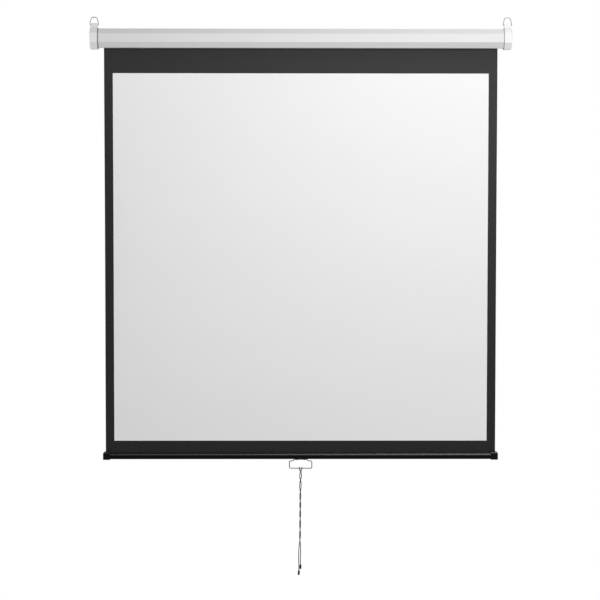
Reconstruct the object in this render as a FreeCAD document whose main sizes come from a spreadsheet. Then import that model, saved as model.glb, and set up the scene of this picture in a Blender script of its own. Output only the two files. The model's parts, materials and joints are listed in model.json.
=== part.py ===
# Manual pull-down projection screen: an octagonal wall case with a spring roller, matte fabric with a
# black border, a weighted bottom bar, a wire pull handle and a doubled pull cord.
#
# X runs along the case to the right, Y runs back to the wall and Z runs up. The origin is the middle of
# the line on which the two hanger rings bear on their hooks. The screen is drawn fully lowered.

import FreeCAD
import Part
import Sketcher
import math
import os
import re

Vector = FreeCAD.Vector
Rotation = FreeCAD.Rotation
Placement = FreeCAD.Placement

X_AXIS = Vector(1, 0, 0)
Y_AXIS = Vector(0, 1, 0)
Z_AXIS = Vector(0, 0, 1)

LEFT = -1
RIGHT = 1
UP = 1
DOWN = -1

# Least length that tells two points apart, and the share by which a tube's volume may differ
PATH_TOLERANCE = 1e-6
VOLUME_SHARE = 0.01

# Driving sizes in millimetres. Names that end in turns or share are plain numbers.
SIZES = {
    # Case and end caps
    "cap_room": 42.0,
    "case_across": 72.0,
    "case_flat": 32.0,
    "case_wall": 1.0,
    "slot_width": 7.0,
    "slot_lip": 4.0,
    "cap_gap": 2.5,
    "cap_length": 28.0,
    "cap_floor": 3.0,
    "cap_skirt": 2.5,
    "cap_rounding": 2.0,
    "spigot_clearance": 0.2,
    "spigot_wall": 2.0,
    "spigot_gap": 6.0,
    "boss_diameter": 20.0,
    "boss_length": 20.0,
    "lug_inset": 2.0,
    "lug_depth": 16.0,
    "lug_rise": 8.0,
    # Cap screws through the two rear slants of the case
    "cap_screw_shank": 3.5,
    "cap_screw_length": 7.0,
    "cap_screw_head": 7.0,
    "cap_screw_rise": 2.4,
    "cap_screw_inset": 6.5,
    "screw_clearance": 0.1,
    "socket_share": 0.35,
    "crown_share": 0.6,
    # Hanger rings
    "ring_wire": 3.0,
    "ring_drop": 29.0,
    "ring_crown": 6.8,
    "ring_flare": 1.8,
    "ring_flare_rise": 7.0,
    "ring_standoff": 2.4,
    "ring_bend": 3.0,
    "ring_grip": 5.0,
    "pin_clearance": 0.08,
    # Roller and what turns with it
    "roller_diameter": 26.0,
    "roller_wall": 0.8,
    "roller_overhang": 7.0,
    "wrap_turns": 2,
    "running_gap": 0.3,
    "plug_depth": 22.0,
    "plug_rim": 3.0,
    "hub_diameter": 16.0,
    "idle_pin_diameter": 6.0,
    "idle_pin_depth": 17.0,
    "idle_pin_chamfer": 0.6,
    "bush_wall": 2.5,
    "bush_rim": 2.0,
    "bush_rim_diameter": 16.0,
    "end_play": 0.8,
    # Lock at the right end
    "flange_rim": 4.5,
    "flange_width": 4.0,
    "lock_gap": 1.0,
    "wheel_diameter": 18.0,
    "wheel_width": 6.0,
    "pawl_pivot": 15.5,
    "pawl_pin_diameter": 3.0,
    "pawl_width": 5.0,
    "pawl_thickness": 2.8,
    "pawl_rim": 1.2,
    "pawl_lift": 0.4,
    "pawl_swing": 12.0,
    "notch_clearance": 0.4,
    # Spindle and torsion spring
    "spindle_diameter": 8.0,
    "tang_length": 17.0,
    "tang_width": 6.8,
    "tang_thickness": 4.0,
    "tang_clearance": 0.1,
    "collar_gap": 3.0,
    "collar_length": 10.0,
    "collar_clearance": 2.2,
    "spring_diameter": 16.0,
    "spring_wire": 1.6,
    "spring_length": 300.0,
    "spring_lead": 6.0,
    "spring_turns": 24,
    "anchor_length": 14.0,
    "clip_gap": 0.5,
    "clip_width": 1.0,
    "clip_diameter": 13.0,
    "clip_mouth": 5.0,
    "groove_depth": 0.8,
    "spindle_tail": 5.0,
    # Fabric, its black border and its hem
    "fabric_width": 1500.0,
    "fabric_thickness": 0.4,
    "mask_thickness": 0.1,
    "side_mask": 32.5,
    "picture_height": 1408.0,
    "top_mask": 95.0,
    "bottom_mask": 46.6,
    "hem_entry": 2.0,
    "hem_rod_diameter": 4.8,
    "hem_clearance": 0.1,
    "hem_inset": 6.0,
    # Bottom bar and its end caps
    "bar_height": 23.0,
    "bar_depth": 22.0,
    "bar_overhang": 7.0,
    "bar_shoulder": 8.0,
    "bar_foot": 2.5,
    "bar_wall": 1.5,
    "bar_slot": 2.0,
    "channel_depth": 6.0,
    "bar_cap_length": 27.0,
    "bar_cap_floor": 3.0,
    "bar_cap_rise": 5.6,
    "bar_cap_drop": 2.9,
    "bar_cap_side": 2.5,
    "bar_cap_round": 6.0,
    "bar_cap_clearance": 0.15,
    "bar_cap_slot": 3.0,
    "bar_cap_rounding": 2.0,
    "tongue_length": 18.0,
    # Handle and the straps that hold it
    "handle_wire": 3.5,
    "handle_width": 86.4,
    "handle_drop": 34.5,
    "handle_joggle": 6.0,
    "handle_shoulder": 12.2,
    "joggle_run": 8.0,
    "handle_bend": 6.0,
    "joggle_bend": 4.0,
    "handle_play": 0.2,
    "handle_joint": 0.4,
    "strap_width": 6.0,
    "strap_thickness": 1.0,
    "strap_reach": 9.5,
    "strap_margin": 7.0,
    "strap_screw_offset": 6.6,
    "strap_screw_shank": 2.5,
    "strap_screw_length": 5.0,
    "strap_screw_head": 4.6,
    "strap_screw_rise": 1.6,
    # Pull cord and its stopper knots
    "cord_diameter": 3.0,
    "hitch_half": 5.0,
    "hitch_gap": 0.3,
    "knot_diameter": 7.6,
    "knot_waist": 5.2,
    "knot_length": 19.0,
    "knot_turns": 3,
    "knot_tail": 2.5,
    # Length by which every cut runs past the face it opens
    "cut_overrun": 1.0,
}

# Cord routes below the handle's lower wire, chosen by hand: right, back and up from its middle.
SHORT_STRAND = [
    (-1.9, 0.6, -12.0),
    (-1.9, 0.6, -20.0),
    (-7.0, 0.4, -32.0),
    (0.0, -3.6, -44.0),
    (4.4, -0.6, -57.0),
    (3.6, 2.6, -77.0),
    (-1.0, 3.4, -95.0),
    (-3.2, -0.2, -110.0),
    (0.0, -3.4, -125.0),
    (3.2, 0.2, -141.0),
    (0.0, 3.4, -158.0),
    (-3.4, 0.0, -175.0),
    (-0.2, -3.4, -194.0),
    (2.8, 0.2, -215.0),
    (-0.8, 3.4, -236.0),
    (-4.0, 0.0, -256.0),
    (-1.0, -3.4, -276.0),
    (0.4, -0.8, -298.0),
    (0.8, 0.4, -322.0),
    (-1.0, 0.0, -347.0),
    (-1.0, 0.0, -369.0),
]
LONG_STRAND = [
    (1.9, 0.6, -12.0),
    (1.9, 0.6, -20.0),
    (6.6, 0.8, -32.0),
    (0.6, 4.0, -44.0),
    (-4.2, 0.8, -57.0),
    (-3.4, -2.4, -77.0),
    (1.4, -3.2, -95.0),
    (3.2, 0.6, -110.0),
    (-0.4, 3.4, -125.0),
    (-3.2, -0.2, -141.0),
    (0.2, -3.4, -158.0),
    (3.0, 0.2, -175.0),
    (-0.4, 3.4, -194.0),
    (-3.6, 0.0, -215.0),
    (-0.6, -3.4, -236.0),
    (2.4, 0.2, -256.0),
    (-1.4, 3.4, -276.0),
    (-6.0, 0.8, -298.0),
    (-7.8, -0.6, -322.0),
    (-8.0, 0.2, -346.0),
    (-6.8, 0.0, -370.0),
    (-6.8, 0.0, -392.0),
]
CORD_ARC_SHARE = 0.45
HALF_RUN_SHARE = 0.5

# Places that several pieces share, as sums of the driving sizes
CAP_HALF = "(case_across / 2 + cap_gap + cap_skirt)"
AXIS = f"(-{CAP_HALF} - lug_rise - ring_drop)"
CASE_BOTTOM = f"({AXIS} - case_across / 2)"
PICTURE_TOP = f"({CASE_BOTTOM} - top_mask)"
PICTURE_BOTTOM = f"({PICTURE_TOP} - picture_height)"
BAR_TOP = f"({PICTURE_BOTTOM} - bottom_mask)"
BAR_BOTTOM = f"({BAR_TOP} - bar_height)"
FABRIC_END = f"({BAR_TOP} - hem_entry)"
WRAP_RADIUS = "(roller_diameter / 2 + wrap_turns * fabric_thickness)"
MASK_FRONT = f"({WRAP_RADIUS} + running_gap)"
FABRIC_FRONT = f"({MASK_FRONT} + mask_thickness)"
FABRIC_MIDDLE = f"({FABRIC_FRONT} + fabric_thickness / 2)"
HANDLE_PIVOT = f"({BAR_BOTTOM} - handle_wire / 2 - handle_play)"
LOWER_WIRE = f"({HANDLE_PIVOT} - handle_drop)"
SLOT_FRONT = f"({FABRIC_MIDDLE} - slot_width / 2)"
PICTURE_HALF = "(fabric_width / 2 - side_mask)"
SPIGOT_END = "(fabric_width / 2 + spigot_gap)"
ROLLER_END = "(fabric_width / 2 + roller_overhang)"
HOUSING_HALF = f"({ROLLER_END} + cap_room)"
FLOOR_FACE = f"({HOUSING_HALF} - cap_floor)"
BOSS_FACE = f"({FLOOR_FACE} - boss_length)"
CAP_MIDDLE = f"({HOUSING_HALF} - cap_length / 2)"
LUG_HALF = "(cap_length / 2 - lug_inset)"
TUBE_BORE = "(roller_diameter / 2 - roller_wall)"
FLANGE_FACE = f"({ROLLER_END} + flange_width)"
FLANGE_RADIUS = "(pawl_pivot + flange_rim)"
WHEEL_FACE = f"({FLANGE_FACE} + lock_gap)"
WHEEL_MIDDLE = f"({WHEEL_FACE} + wheel_width / 2)"
COLLAR_RADIUS = f"({TUBE_BORE} - collar_clearance)"
COLLAR_FACE = f"({ROLLER_END} - plug_depth - collar_gap - collar_length)"
SPRING_END = f"({COLLAR_FACE} - spring_length)"
ANCHOR_END = f"({SPRING_END} - running_gap - anchor_length)"
CLIP_FACE = f"({ANCHOR_END} - clip_gap)"
SPINDLE_END = f"({CLIP_FACE} - clip_width - spindle_tail)"
SPINDLE_BORE = "(spindle_diameter / 2 + pin_clearance)"
PAWL_NOSE = "(wheel_diameter / 2 + pawl_lift + pawl_thickness / 2)"
BAR_HALF = "(fabric_width / 2 + bar_overhang)"
BAR_CAP_END = f"({BAR_HALF} + bar_cap_floor)"
HEM_RADIUS = "(hem_rod_diameter / 2 + fabric_thickness)"
CHANNEL_RADIUS = f"({HEM_RADIUS} + hem_clearance)"
HOLLOW_TOP = f"(channel_depth + {CHANNEL_RADIUS} + bar_wall)"
RAISED_HALF = "(handle_width / 2 - handle_shoulder - joggle_run)"
STRAP_MIDDLE = f"({RAISED_HALF} - strap_margin)"
HITCH_RADIUS = "(handle_wire / 2 + hitch_gap + cord_diameter / 2)"
SLANT_SHIFT = "(sqrt(2) - 1)"


# Document, spreadsheet and expressions

doc = FreeCAD.newDocument("ProjectionScreen")
sheet = doc.addObject("Spreadsheet::Sheet", "Sizes")
for row, (name, number) in enumerate(SIZES.items(), start=1):
    sheet.set(f"A{row}", name)
    sheet.set(f"B{row}", str(number))
    sheet.setAlias(f"B{row}", name)
doc.recompute()

sub_parts = []


def cells(expression):
    """Write an expression on size names as one on the spreadsheet's cells."""
    return re.sub(r"\b[a-z]+(?:_[a-z]+)+\b", r"Sizes.\g<0>", expression)


def size(expression):
    """Work out an expression on size names as a number."""
    return float(sheet.evalExpression(expression))


def bind(thing, **expressions):
    """Bind properties to expressions; a double underscore in a name stands for a dot."""
    for key, expression in expressions.items():
        thing.setExpression(key.replace("__", "."), cells(expression))


def place(thing, x="0", y="0", z="0"):
    """Bind where a sub-part's own origin stands."""
    bind(thing, Placement__Base__x=x, Placement__Base__y=y, Placement__Base__z=z)
    return thing


def keep(thing):
    """Count an object as a sub-part that gets a file of its own."""
    sub_parts.append(thing)
    return thing


# Sketches and features

def new_body(label):
    """A PartDesign body with the sub-part's label."""
    body = doc.addObject("PartDesign::Body", label)
    body.Label = label
    return body


def new_sketch(body, role, offset="0"):
    """A sketch on one of the body's own planes, shifted along the plane's normal."""
    sketch = body.newObject("Sketcher::SketchObject", f"{body.Label}_sketch")
    plane = next(datum for datum in body.Origin.OriginFeatures if datum.Role == role)
    sketch.AttachmentSupport = [(plane, "")]
    sketch.MapMode = "FlatFace"
    bind(sketch, AttachmentOffset__Base__z=offset)
    return sketch


def arc_between(start, end, radius, turn):
    """The arc of under a half circle from start to end; turn is 1 anticlockwise and -1 clockwise."""
    chord = end - start
    middle = (start + end) / 2
    side = Vector(-chord.y, chord.x, 0).normalize() * turn
    centre = middle + side * math.sqrt(max(radius ** 2 - (chord.Length / 2) ** 2, 0))
    first, last = (start, end) if turn > 0 else (end, start)
    angles = [math.atan2(point.y - centre.y, point.x - centre.x) for point in (first, last)]
    return Part.ArcOfCircle(Part.Circle(centre, Z_AXIS, radius), *angles)


def draw_outline(sketch, corners, arcs=None):
    """Draw a closed outline and bind its corners.

    corners are pairs of expressions. arcs gives, for the number of a side, the radius of the arc that
    takes its place and that arc's turn.
    """
    arcs = arcs or {}
    points = [Vector(size(across), size(up), 0) for across, up in corners]
    first = sketch.GeometryCount
    count = len(points)
    ends = []
    for side, start in enumerate(points):
        end = points[(side + 1) % count]
        if side in arcs:
            radius, turn = arcs[side]
            sketch.addGeometry(arc_between(start, end, size(radius), turn))
            ends.append((1, 2) if turn > 0 else (2, 1))
        else:
            sketch.addGeometry(Part.LineSegment(start, end))
            ends.append((1, 2))
    for side in range(count):
        following = (side + 1) % count
        link = Sketcher.Constraint(
            "Coincident", first + side, ends[side][1], first + following, ends[following][0])
        sketch.addConstraint(link)
    for side, (point, corner) in enumerate(zip(points, corners)):
        across = Sketcher.Constraint("DistanceX", -1, 1, first + side, ends[side][0], point.x)
        bind_constraint(sketch, across, corner[0])
        up = Sketcher.Constraint("DistanceY", -1, 1, first + side, ends[side][0], point.y)
        bind_constraint(sketch, up, corner[1])
    for side, (radius, turn) in arcs.items():
        bind_constraint(sketch, Sketcher.Constraint("Radius", first + side, size(radius)), radius)


def draw_circle(sketch, across, up, radius):
    """Draw a circle and bind its centre and radius."""
    centre = Vector(size(across), size(up), 0)
    circle = sketch.addGeometry(Part.Circle(centre, Z_AXIS, size(radius)))
    bind_constraint(sketch, Sketcher.Constraint("DistanceX", -1, 1, circle, 3, centre.x), across)
    bind_constraint(sketch, Sketcher.Constraint("DistanceY", -1, 1, circle, 3, centre.y), up)
    bind_constraint(sketch, Sketcher.Constraint("Radius", circle, size(radius)), radius)


def bind_constraint(sketch, constraint, expression):
    """Add a constraint whose value follows an expression."""
    index = sketch.addConstraint(constraint)
    sketch.setExpression(f"Constraints[{index}]", cells(expression))


def pad(body, sketch, length, side=RIGHT, symmetric=False):
    """Pad a sketch along its normal, against it for side LEFT, or half each way."""
    padding = body.newObject("PartDesign::Pad", f"{body.Label}_pad")
    padding.Profile = sketch
    padding.SideType = "Symmetric" if symmetric else "One side"
    padding.Reversed = side == LEFT
    bind(padding, Length=length)
    doc.recompute()


def drill(body, radius, length, placement):
    """Cut a round hole that starts at the placement and runs along its Z axis."""
    hole = body.newObject("PartDesign::SubtractiveCylinder", f"{body.Label}_hole")
    hole.Placement = placement
    bind(hole, Radius=radius, Height=length)
    doc.recompute()
    return hole


def body_block(body, kind, start, end):
    """Add a block to a body or cut one from it, between two corners given as triples of expressions."""
    block = body.newObject(f"PartDesign::{kind}Box", f"{body.Label}_block")
    spans = [f"{high} - ({low})" for low, high in zip(start, end)]
    bind(block, Length=spans[0], Width=spans[1], Height=spans[2])
    place(block, *start)
    doc.recompute()


def round_face_edges(body, radius, x):
    """Round those edges of the body's last feature that lie in the plane at x."""
    base = body.Tip
    plane = size(x)
    names = []
    for number, edge in enumerate(base.Shape.Edges, start=1):
        if all(abs(vertex.X - plane) < PATH_TOLERANCE for vertex in edge.Vertexes):
            names.append(f"Edge{number}")
    fillet = body.newObject("PartDesign::Fillet", f"{body.Label}_rounding")
    fillet.Base = (base, names)
    bind(fillet, Radius=radius)
    doc.recompute()


def turned(label, corners, arcs=None):
    """A body turned about X from the outline of its half section, given as place along X and radius."""
    body = new_body(label)
    sketch = new_sketch(body, "XZ_Plane")
    draw_outline(sketch, corners, arcs)
    revolution = body.newObject("PartDesign::Revolution", f"{label}_revolution")
    revolution.Profile = sketch
    revolution.ReferenceAxis = (sketch, ["H_Axis"])
    doc.recompute()
    return body


def turned_ring(label, start, end, bore, radius):
    """A plain sleeve about X."""
    return turned(label, [(start, bore), (end, bore), (end, radius), (start, radius)])


def octagon(half_across, half_flat):
    """Corners of an upright octagon whose slants stand at 45 degrees."""
    across, flat = half_across, half_flat
    quarter = [(flat, f"-{across}"), (across, f"-{flat}"), (across, flat), (flat, across)]
    return quarter + [(f"-{flat}", across), (f"-{across}", flat), (f"-{across}", f"-{flat}"),
                      (f"-{flat}", f"-{across}")]


def inset_octagon(across, flat, wall):
    """Corners of an octagon that lies one wall inside another."""
    return octagon(f"({across} / 2 - {wall})", f"({flat} / 2 - {wall} * {SLANT_SHIFT})")


def box(label, start, end):
    """A block between two corners given as triples of expressions."""
    block = doc.addObject("Part::Box", label)
    block.Label = label
    spans = [f"{high} - ({low})" for low, high in zip(start, end)]
    bind(block, Length=spans[0], Width=spans[1], Height=spans[2])
    return place(block, *start)


def rod_along_x(label, start, end, radius, y, z):
    """A round bar along X."""
    rod = doc.addObject("Part::Cylinder", label)
    rod.Label = label
    rod.Placement = Placement(Vector(), Rotation(Y_AXIS, 90))
    bind(rod, Radius=radius, Height=f"{end} - ({start})")
    return place(rod, start, y, z)


def cut(label, base, tool):
    """One object less another."""
    result = doc.addObject("Part::Cut", label)
    result.Label = label
    result.Base = base
    result.Tool = tool
    return result


def fuse(label, base, tool):
    """Two objects joined."""
    result = doc.addObject("Part::Fuse", label)
    result.Label = label
    result.Base = base
    result.Tool = tool
    return result


def shape_part(label, shape):
    """A sub-part whose shape is made here from the sheet's sizes."""
    thing = doc.addObject("Part::Feature", label)
    thing.Label = label
    thing.Shape = shape
    return keep(thing)


def group(label, pattern, placements):
    """A sub-part of several copies of one pattern."""
    copies = []
    for spot in placements:
        copy = pattern.Shape.copy()
        copy.Placement = spot.multiply(copy.Placement)
        copies.append(copy)
    shape_part(label, Part.makeCompound(copies))


def at(x="0", y="0", z="0"):
    """A point from three expressions."""
    return Vector(size(x), size(y), size(z))


# Wires and cords

def rounded_path(points, radii):
    """A wire of straight runs joined by tangent arcs, one radius for each inner point."""
    edges = []
    reached = points[0]
    for before, corner, after, radius in zip(points, points[1:], points[2:], radii):
        inward = (before - corner).normalize()
        outward = (after - corner).normalize()
        half_turn = (math.pi - inward.getAngle(outward)) / 2
        tangent = radius * math.tan(half_turn)
        start = corner + inward * tangent
        end = corner + outward * tangent
        bisector = (inward + outward).normalize()
        middle = corner + bisector * radius * (1 / math.cos(half_turn) - 1)
        if not start.isEqual(reached, PATH_TOLERANCE):
            edges.append(Part.LineSegment(reached, start).toShape())
        edges.append(Part.Arc(start, middle, end).toShape())
        reached = end
    edges.append(Part.LineSegment(reached, points[-1]).toShape())
    return Part.Wire(edges)


def tube(path, diameter):
    """A round bar along a path; its volume has to be its section times the path's length."""
    first = path.OrderedEdges[0]
    start = first.valueAt(first.FirstParameter)
    heading = first.tangentAt(first.FirstParameter)
    if path.OrderedVertexes[0].Point.distanceToPoint(start) > PATH_TOLERANCE:
        start = path.OrderedVertexes[0].Point
        heading = first.tangentAt(first.LastParameter) * -1
    circle = Part.Wire(Part.Circle(start, heading, diameter / 2).toShape())
    solid = path.makePipeShell([circle], True, False)
    expected = math.pi * diameter ** 2 / 4 * path.Length
    if abs(solid.Volume / expected - 1) > VOLUME_SHARE:
        raise RuntimeError(f"A tube has {solid.Volume} of {expected} cubic millimetres")
    return solid


def arc_radius(before, corner, after, share):
    """The radius of an arc at a corner that takes up a share of its shorter run."""
    shorter = min((corner - before).Length, (after - corner).Length)
    turn = (corner - before).getAngle(after - corner)
    return share * shorter / math.tan(turn / 2)


def cord_radii(points):
    """Arc radii as large as the runs allow."""
    return [arc_radius(*corner, CORD_ARC_SHARE) for corner in zip(points, points[1:], points[2:])]


def biarc(start, start_heading, end, end_heading):
    """Two arcs that leave start and reach end along the given headings."""
    span = end - start
    both = start_heading + end_heading
    spread = 2 * (1 - start_heading.dot(end_heading))
    along = span.dot(both)
    reach = (math.sqrt(along ** 2 + spread * span.dot(span)) - along) / spread
    first_corner = start + start_heading * reach
    last_corner = end - end_heading * reach
    joint = (first_corner + last_corner) / 2
    return [tangent_arc(start, first_corner, joint), tangent_arc(joint, last_corner, end)]


def tangent_arc(start, corner, end):
    """The arc between two tangents that meet in a corner as far from one end as from the other."""
    chord_middle = (start + end) / 2
    half_chord = (end - start).Length / 2
    rise = (corner - chord_middle).Length
    slope = math.atan2(rise, half_chord)
    sagitta = half_chord * math.tan(slope / 2)
    middle = chord_middle + (corner - chord_middle).normalize() * sagitta
    return Part.Arc(start, middle, end).toShape()


# Case, end caps and hanger rings

def rear_slants():
    """Placements on the two rear slants near both ends of the case, with X pointing out of the slant."""
    spots = []
    inset = size(f"{HOUSING_HALF} - cap_length - cap_screw_inset")
    reach = size("(case_across + case_flat) / 4")
    for end in (LEFT, RIGHT):
        for lift in (UP, DOWN):
            outward = Vector(0, 1, lift).normalize()
            seat = Vector(end * inset, reach, lift * reach) + at(z=AXIS)
            spots.append(Placement(seat, Rotation(X_AXIS, outward)))
    return spots


def drill_screw_holes(body):
    """Screw holes through the rear slants that the body covers, drawn about the case's own axis."""
    own_axis = Placement(at(z=AXIS), Rotation())
    for spot in rear_slants():
        local = own_axis.inverse().multiply(spot)
        start = local.multVec(X_AXIS * size("cut_overrun"))
        inward = local.Rotation.multVec(X_AXIS) * -1
        if body.Shape.BoundBox.XMin < start.x < body.Shape.BoundBox.XMax:
            drill(body, "cap_screw_shank / 2 + screw_clearance", "cap_screw_length + 2 * cut_overrun",
                  Placement(start, Rotation(Z_AXIS, inward)))


def make_case():
    """Rolled octagonal case with a slot for the fabric in its bottom and a lip along the slot's front."""
    body = new_body("case_shell")
    sketch = new_sketch(body, "YZ_Plane")
    draw_outline(sketch, inset_octagon("case_across", "case_flat", "0"))
    draw_outline(sketch, inset_octagon("case_across", "case_flat", "case_wall"))
    pad(body, sketch, f"2 * {FLOOR_FACE}", symmetric=True)
    bottom = "-case_across / 2"
    body_block(body, "Subtractive", (f"-{HOUSING_HALF}", SLOT_FRONT, f"{bottom} - cut_overrun"),
               (HOUSING_HALF, f"({SLOT_FRONT} + slot_width)", f"({bottom} + slot_lip + slot_width)"))
    body_block(body, "Additive", (f"-{FLOOR_FACE}", f"{SLOT_FRONT} - case_wall", bottom),
               (FLOOR_FACE, SLOT_FRONT, f"({bottom} + slot_lip)"))
    drill_screw_holes(body)
    keep(place(body, z=AXIS))


def make_end_cap(label, side):
    """End cap: floor, outer skirt, a spigot inside the case, a boss for the roller and a ring lug."""
    body = new_body(label)
    outer_face = f"{side} * {HOUSING_HALF}"
    inward = -side
    outside = inset_octagon("case_across", "case_flat", "(-cap_gap - cap_skirt)")

    floor = new_sketch(body, "YZ_Plane", outer_face)
    draw_outline(floor, outside)
    pad(body, floor, "cap_floor", inward)

    skirt = new_sketch(body, "YZ_Plane", outer_face)
    draw_outline(skirt, outside)
    draw_outline(skirt, inset_octagon("case_across", "case_flat", "(-cap_gap)"))
    pad(body, skirt, "cap_length", inward)
    round_face_edges(body, "cap_rounding", outer_face)

    floor_inside = f"{side} * {FLOOR_FACE}"
    spigot = new_sketch(body, "YZ_Plane", floor_inside)
    gap = "(case_wall + spigot_clearance)"
    draw_outline(spigot, inset_octagon("case_across", "case_flat", gap))
    draw_outline(spigot, inset_octagon("case_across", "case_flat", f"({gap} + spigot_wall)"))
    pad(body, spigot, f"{FLOOR_FACE} - {SPIGOT_END}", inward)

    boss = new_sketch(body, "YZ_Plane", floor_inside)
    draw_circle(boss, "0", "0", "boss_diameter / 2")
    if side == LEFT:
        draw_circle(boss, "0", "0", "idle_pin_diameter / 2 + pin_clearance + bush_wall")
    else:
        draw_outline(boss, tang_outline("tang_clearance"))
    pad(body, boss, "boss_length", inward)

    near, far = (SPIGOT_END, FLOOR_FACE) if side == RIGHT else (f"-{FLOOR_FACE}", f"-{SPIGOT_END}")
    relief_front = f"({SLOT_FRONT} - case_wall - spigot_clearance)"
    relief_top = "(slot_lip + spigot_clearance - case_across / 2)"
    body_block(body, "Subtractive", (near, relief_front, "-case_across / 2"),
               (far, f"({SLOT_FRONT} + spigot_clearance)", relief_top))

    lug = new_sketch(body, "YZ_Plane", f"{side} * {CAP_MIDDLE}")
    root = f"({CAP_HALF} - cap_skirt / 2)"
    pivot = f"({CAP_HALF} + lug_rise)"
    half_depth = "(lug_depth / 2)"
    draw_outline(lug, [(f"-{half_depth}", root), (half_depth, root), (half_depth, pivot),
                       ("0", f"{pivot} + {half_depth}"), (f"-{half_depth}", pivot)],
                 {2: (half_depth, 1), 3: (half_depth, 1)})
    draw_circle(lug, "0", pivot, "ring_wire / 2 + pin_clearance")
    pad(body, lug, f"2 * {LUG_HALF}", symmetric=True)
    drill_screw_holes(body)
    keep(place(body, z=AXIS))


def tang_outline(margin):
    """Corners of the spindle's flat tang grown by a margin."""
    width = f"(tang_width / 2 + {margin})"
    thickness = f"(tang_thickness / 2 + {margin})"
    return [(f"-{width}", f"-{thickness}"), (width, f"-{thickness}"), (width, thickness),
            (f"-{width}", thickness)]


def make_screw(label, head, rise, shank, length):
    """A pan-head screw along X whose head stands on the plane through its origin."""
    half = f"({shank} / 2)"
    crown = f"({head} / 2 * crown_share)"
    corners = [(f"-{length}", "0"), (f"{rise} * socket_share", "0"), (rise, f"{head} / 2 * socket_share"),
               (rise, crown), ("0", f"{head} / 2"), ("0", half), (f"{half} - {length}", half)]
    dome = f"({rise} + {head} / 2 - {crown})"
    return turned(label, corners, {3: (dome, -1)})


def make_ring(label, side):
    """Hanger ring of bent wire, its ends pinned in the cap's lug."""
    pivot = "-ring_drop"
    foot = f"({LUG_HALF} + ring_standoff)"
    half = [(f"{LUG_HALF} - ring_grip", pivot), (foot, pivot),
            (f"{foot} + ring_flare", f"{pivot} + ring_flare_rise"), ("ring_crown", "ring_wire / 2")]
    middle = size(f"{side} * {CAP_MIDDLE}")
    right = [Vector(middle + size(x), 0, size(z)) for x, z in half]
    left = [Vector(2 * middle - point.x, 0, point.z) for point in reversed(right)]
    bend = size("ring_bend")
    crown = arc_radius(right[2], right[3], left[0], HALF_RUN_SHARE)
    radii = [bend, bend, crown]
    path = rounded_path(right + left, radii + radii[::-1])
    shape_part(label, tube(path, size("ring_wire")))


# Roller, lock and spring

def make_roller():
    """Roller tube, the turns of fabric left on it and the idle end's plug, pin and bush."""
    start, end = f"-{ROLLER_END}", ROLLER_END
    keep(place(turned_ring("roller_tube", start, end, TUBE_BORE, "roller_diameter / 2"), z=AXIS))
    wrap = turned_ring("fabric_wrap", "-fabric_width / 2", "fabric_width / 2", "roller_diameter / 2",
                       WRAP_RADIUS)
    keep(place(wrap, z=AXIS))

    pin = "(idle_pin_diameter / 2)"
    bush_bore = f"({pin} + pin_clearance)"
    bush_end = f"({BOSS_FACE} - bush_rim)"
    hub_end = f"({bush_end} - end_play)"
    rim_face = f"({ROLLER_END} + plug_rim)"
    plug_start = f"({ROLLER_END} - plug_depth)"
    plug = turned("left_roller_plug", [
        (f"-{hub_end}", pin), (f"-{plug_start}", pin), (f"-{plug_start}", TUBE_BORE),
        (f"-{ROLLER_END}", TUBE_BORE), (f"-{ROLLER_END}", "roller_diameter / 2"),
        (f"-{rim_face}", "roller_diameter / 2"), (f"-{rim_face}", "hub_diameter / 2"),
        (f"-{hub_end}", "hub_diameter / 2")])
    keep(place(plug, z=AXIS))

    tip = f"({BOSS_FACE} + idle_pin_depth)"
    blunt = f"({pin} - idle_pin_chamfer)"
    pin_body = turned("idle_pin", [
        (f"-{tip}", "0"), (f"-{plug_start}", "0"), (f"-{plug_start}", pin),
        (f"-({tip} - idle_pin_chamfer)", pin), (f"-{tip}", blunt)])
    keep(place(pin_body, z=AXIS))

    bush = turned("left_bearing_bush", [
        (f"-{FLOOR_FACE}", bush_bore), (f"-{bush_end}", bush_bore),
        (f"-{bush_end}", "bush_rim_diameter / 2"), (f"-{BOSS_FACE}", "bush_rim_diameter / 2"),
        (f"-{BOSS_FACE}", f"{bush_bore} + bush_wall"),
        (f"-{FLOOR_FACE}", f"{bush_bore} + bush_wall")])
    keep(place(bush, z=AXIS))


def pawl_line(swing):
    """Start and end of a pawl's middle line at a swing in degrees, about the roller's axis."""
    pivot = size("pawl_pivot")
    nose = size(PAWL_NOSE)
    arm = math.sqrt(pivot ** 2 - nose ** 2)
    angle = math.asin(nose / pivot) - math.radians(swing)
    start = Vector(0, 0, pivot)
    return start, start + Vector(0, -math.sin(angle), -math.cos(angle)) * arm


def pawl_shape(half_thickness, width, swing):
    """A flat arm with round ends from the pawl's pivot to its nose."""
    start, end = pawl_line(swing)
    along = (end - start).normalize()
    side = X_AXIS.cross(along)
    corners = [start + side * half_thickness, end + side * half_thickness, end - side * half_thickness,
               start - side * half_thickness]
    outline = Part.Wire([
        Part.LineSegment(corners[0], corners[1]).toShape(),
        Part.Arc(corners[1], end + along * half_thickness, corners[2]).toShape(),
        Part.LineSegment(corners[2], corners[3]).toShape(),
        Part.Arc(corners[3], start - along * half_thickness, corners[0]).toShape()])
    arm = Part.Face(outline).extrude(X_AXIS * width)
    return arm.translated(X_AXIS * (size(WHEEL_MIDDLE) - width / 2))


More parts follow.
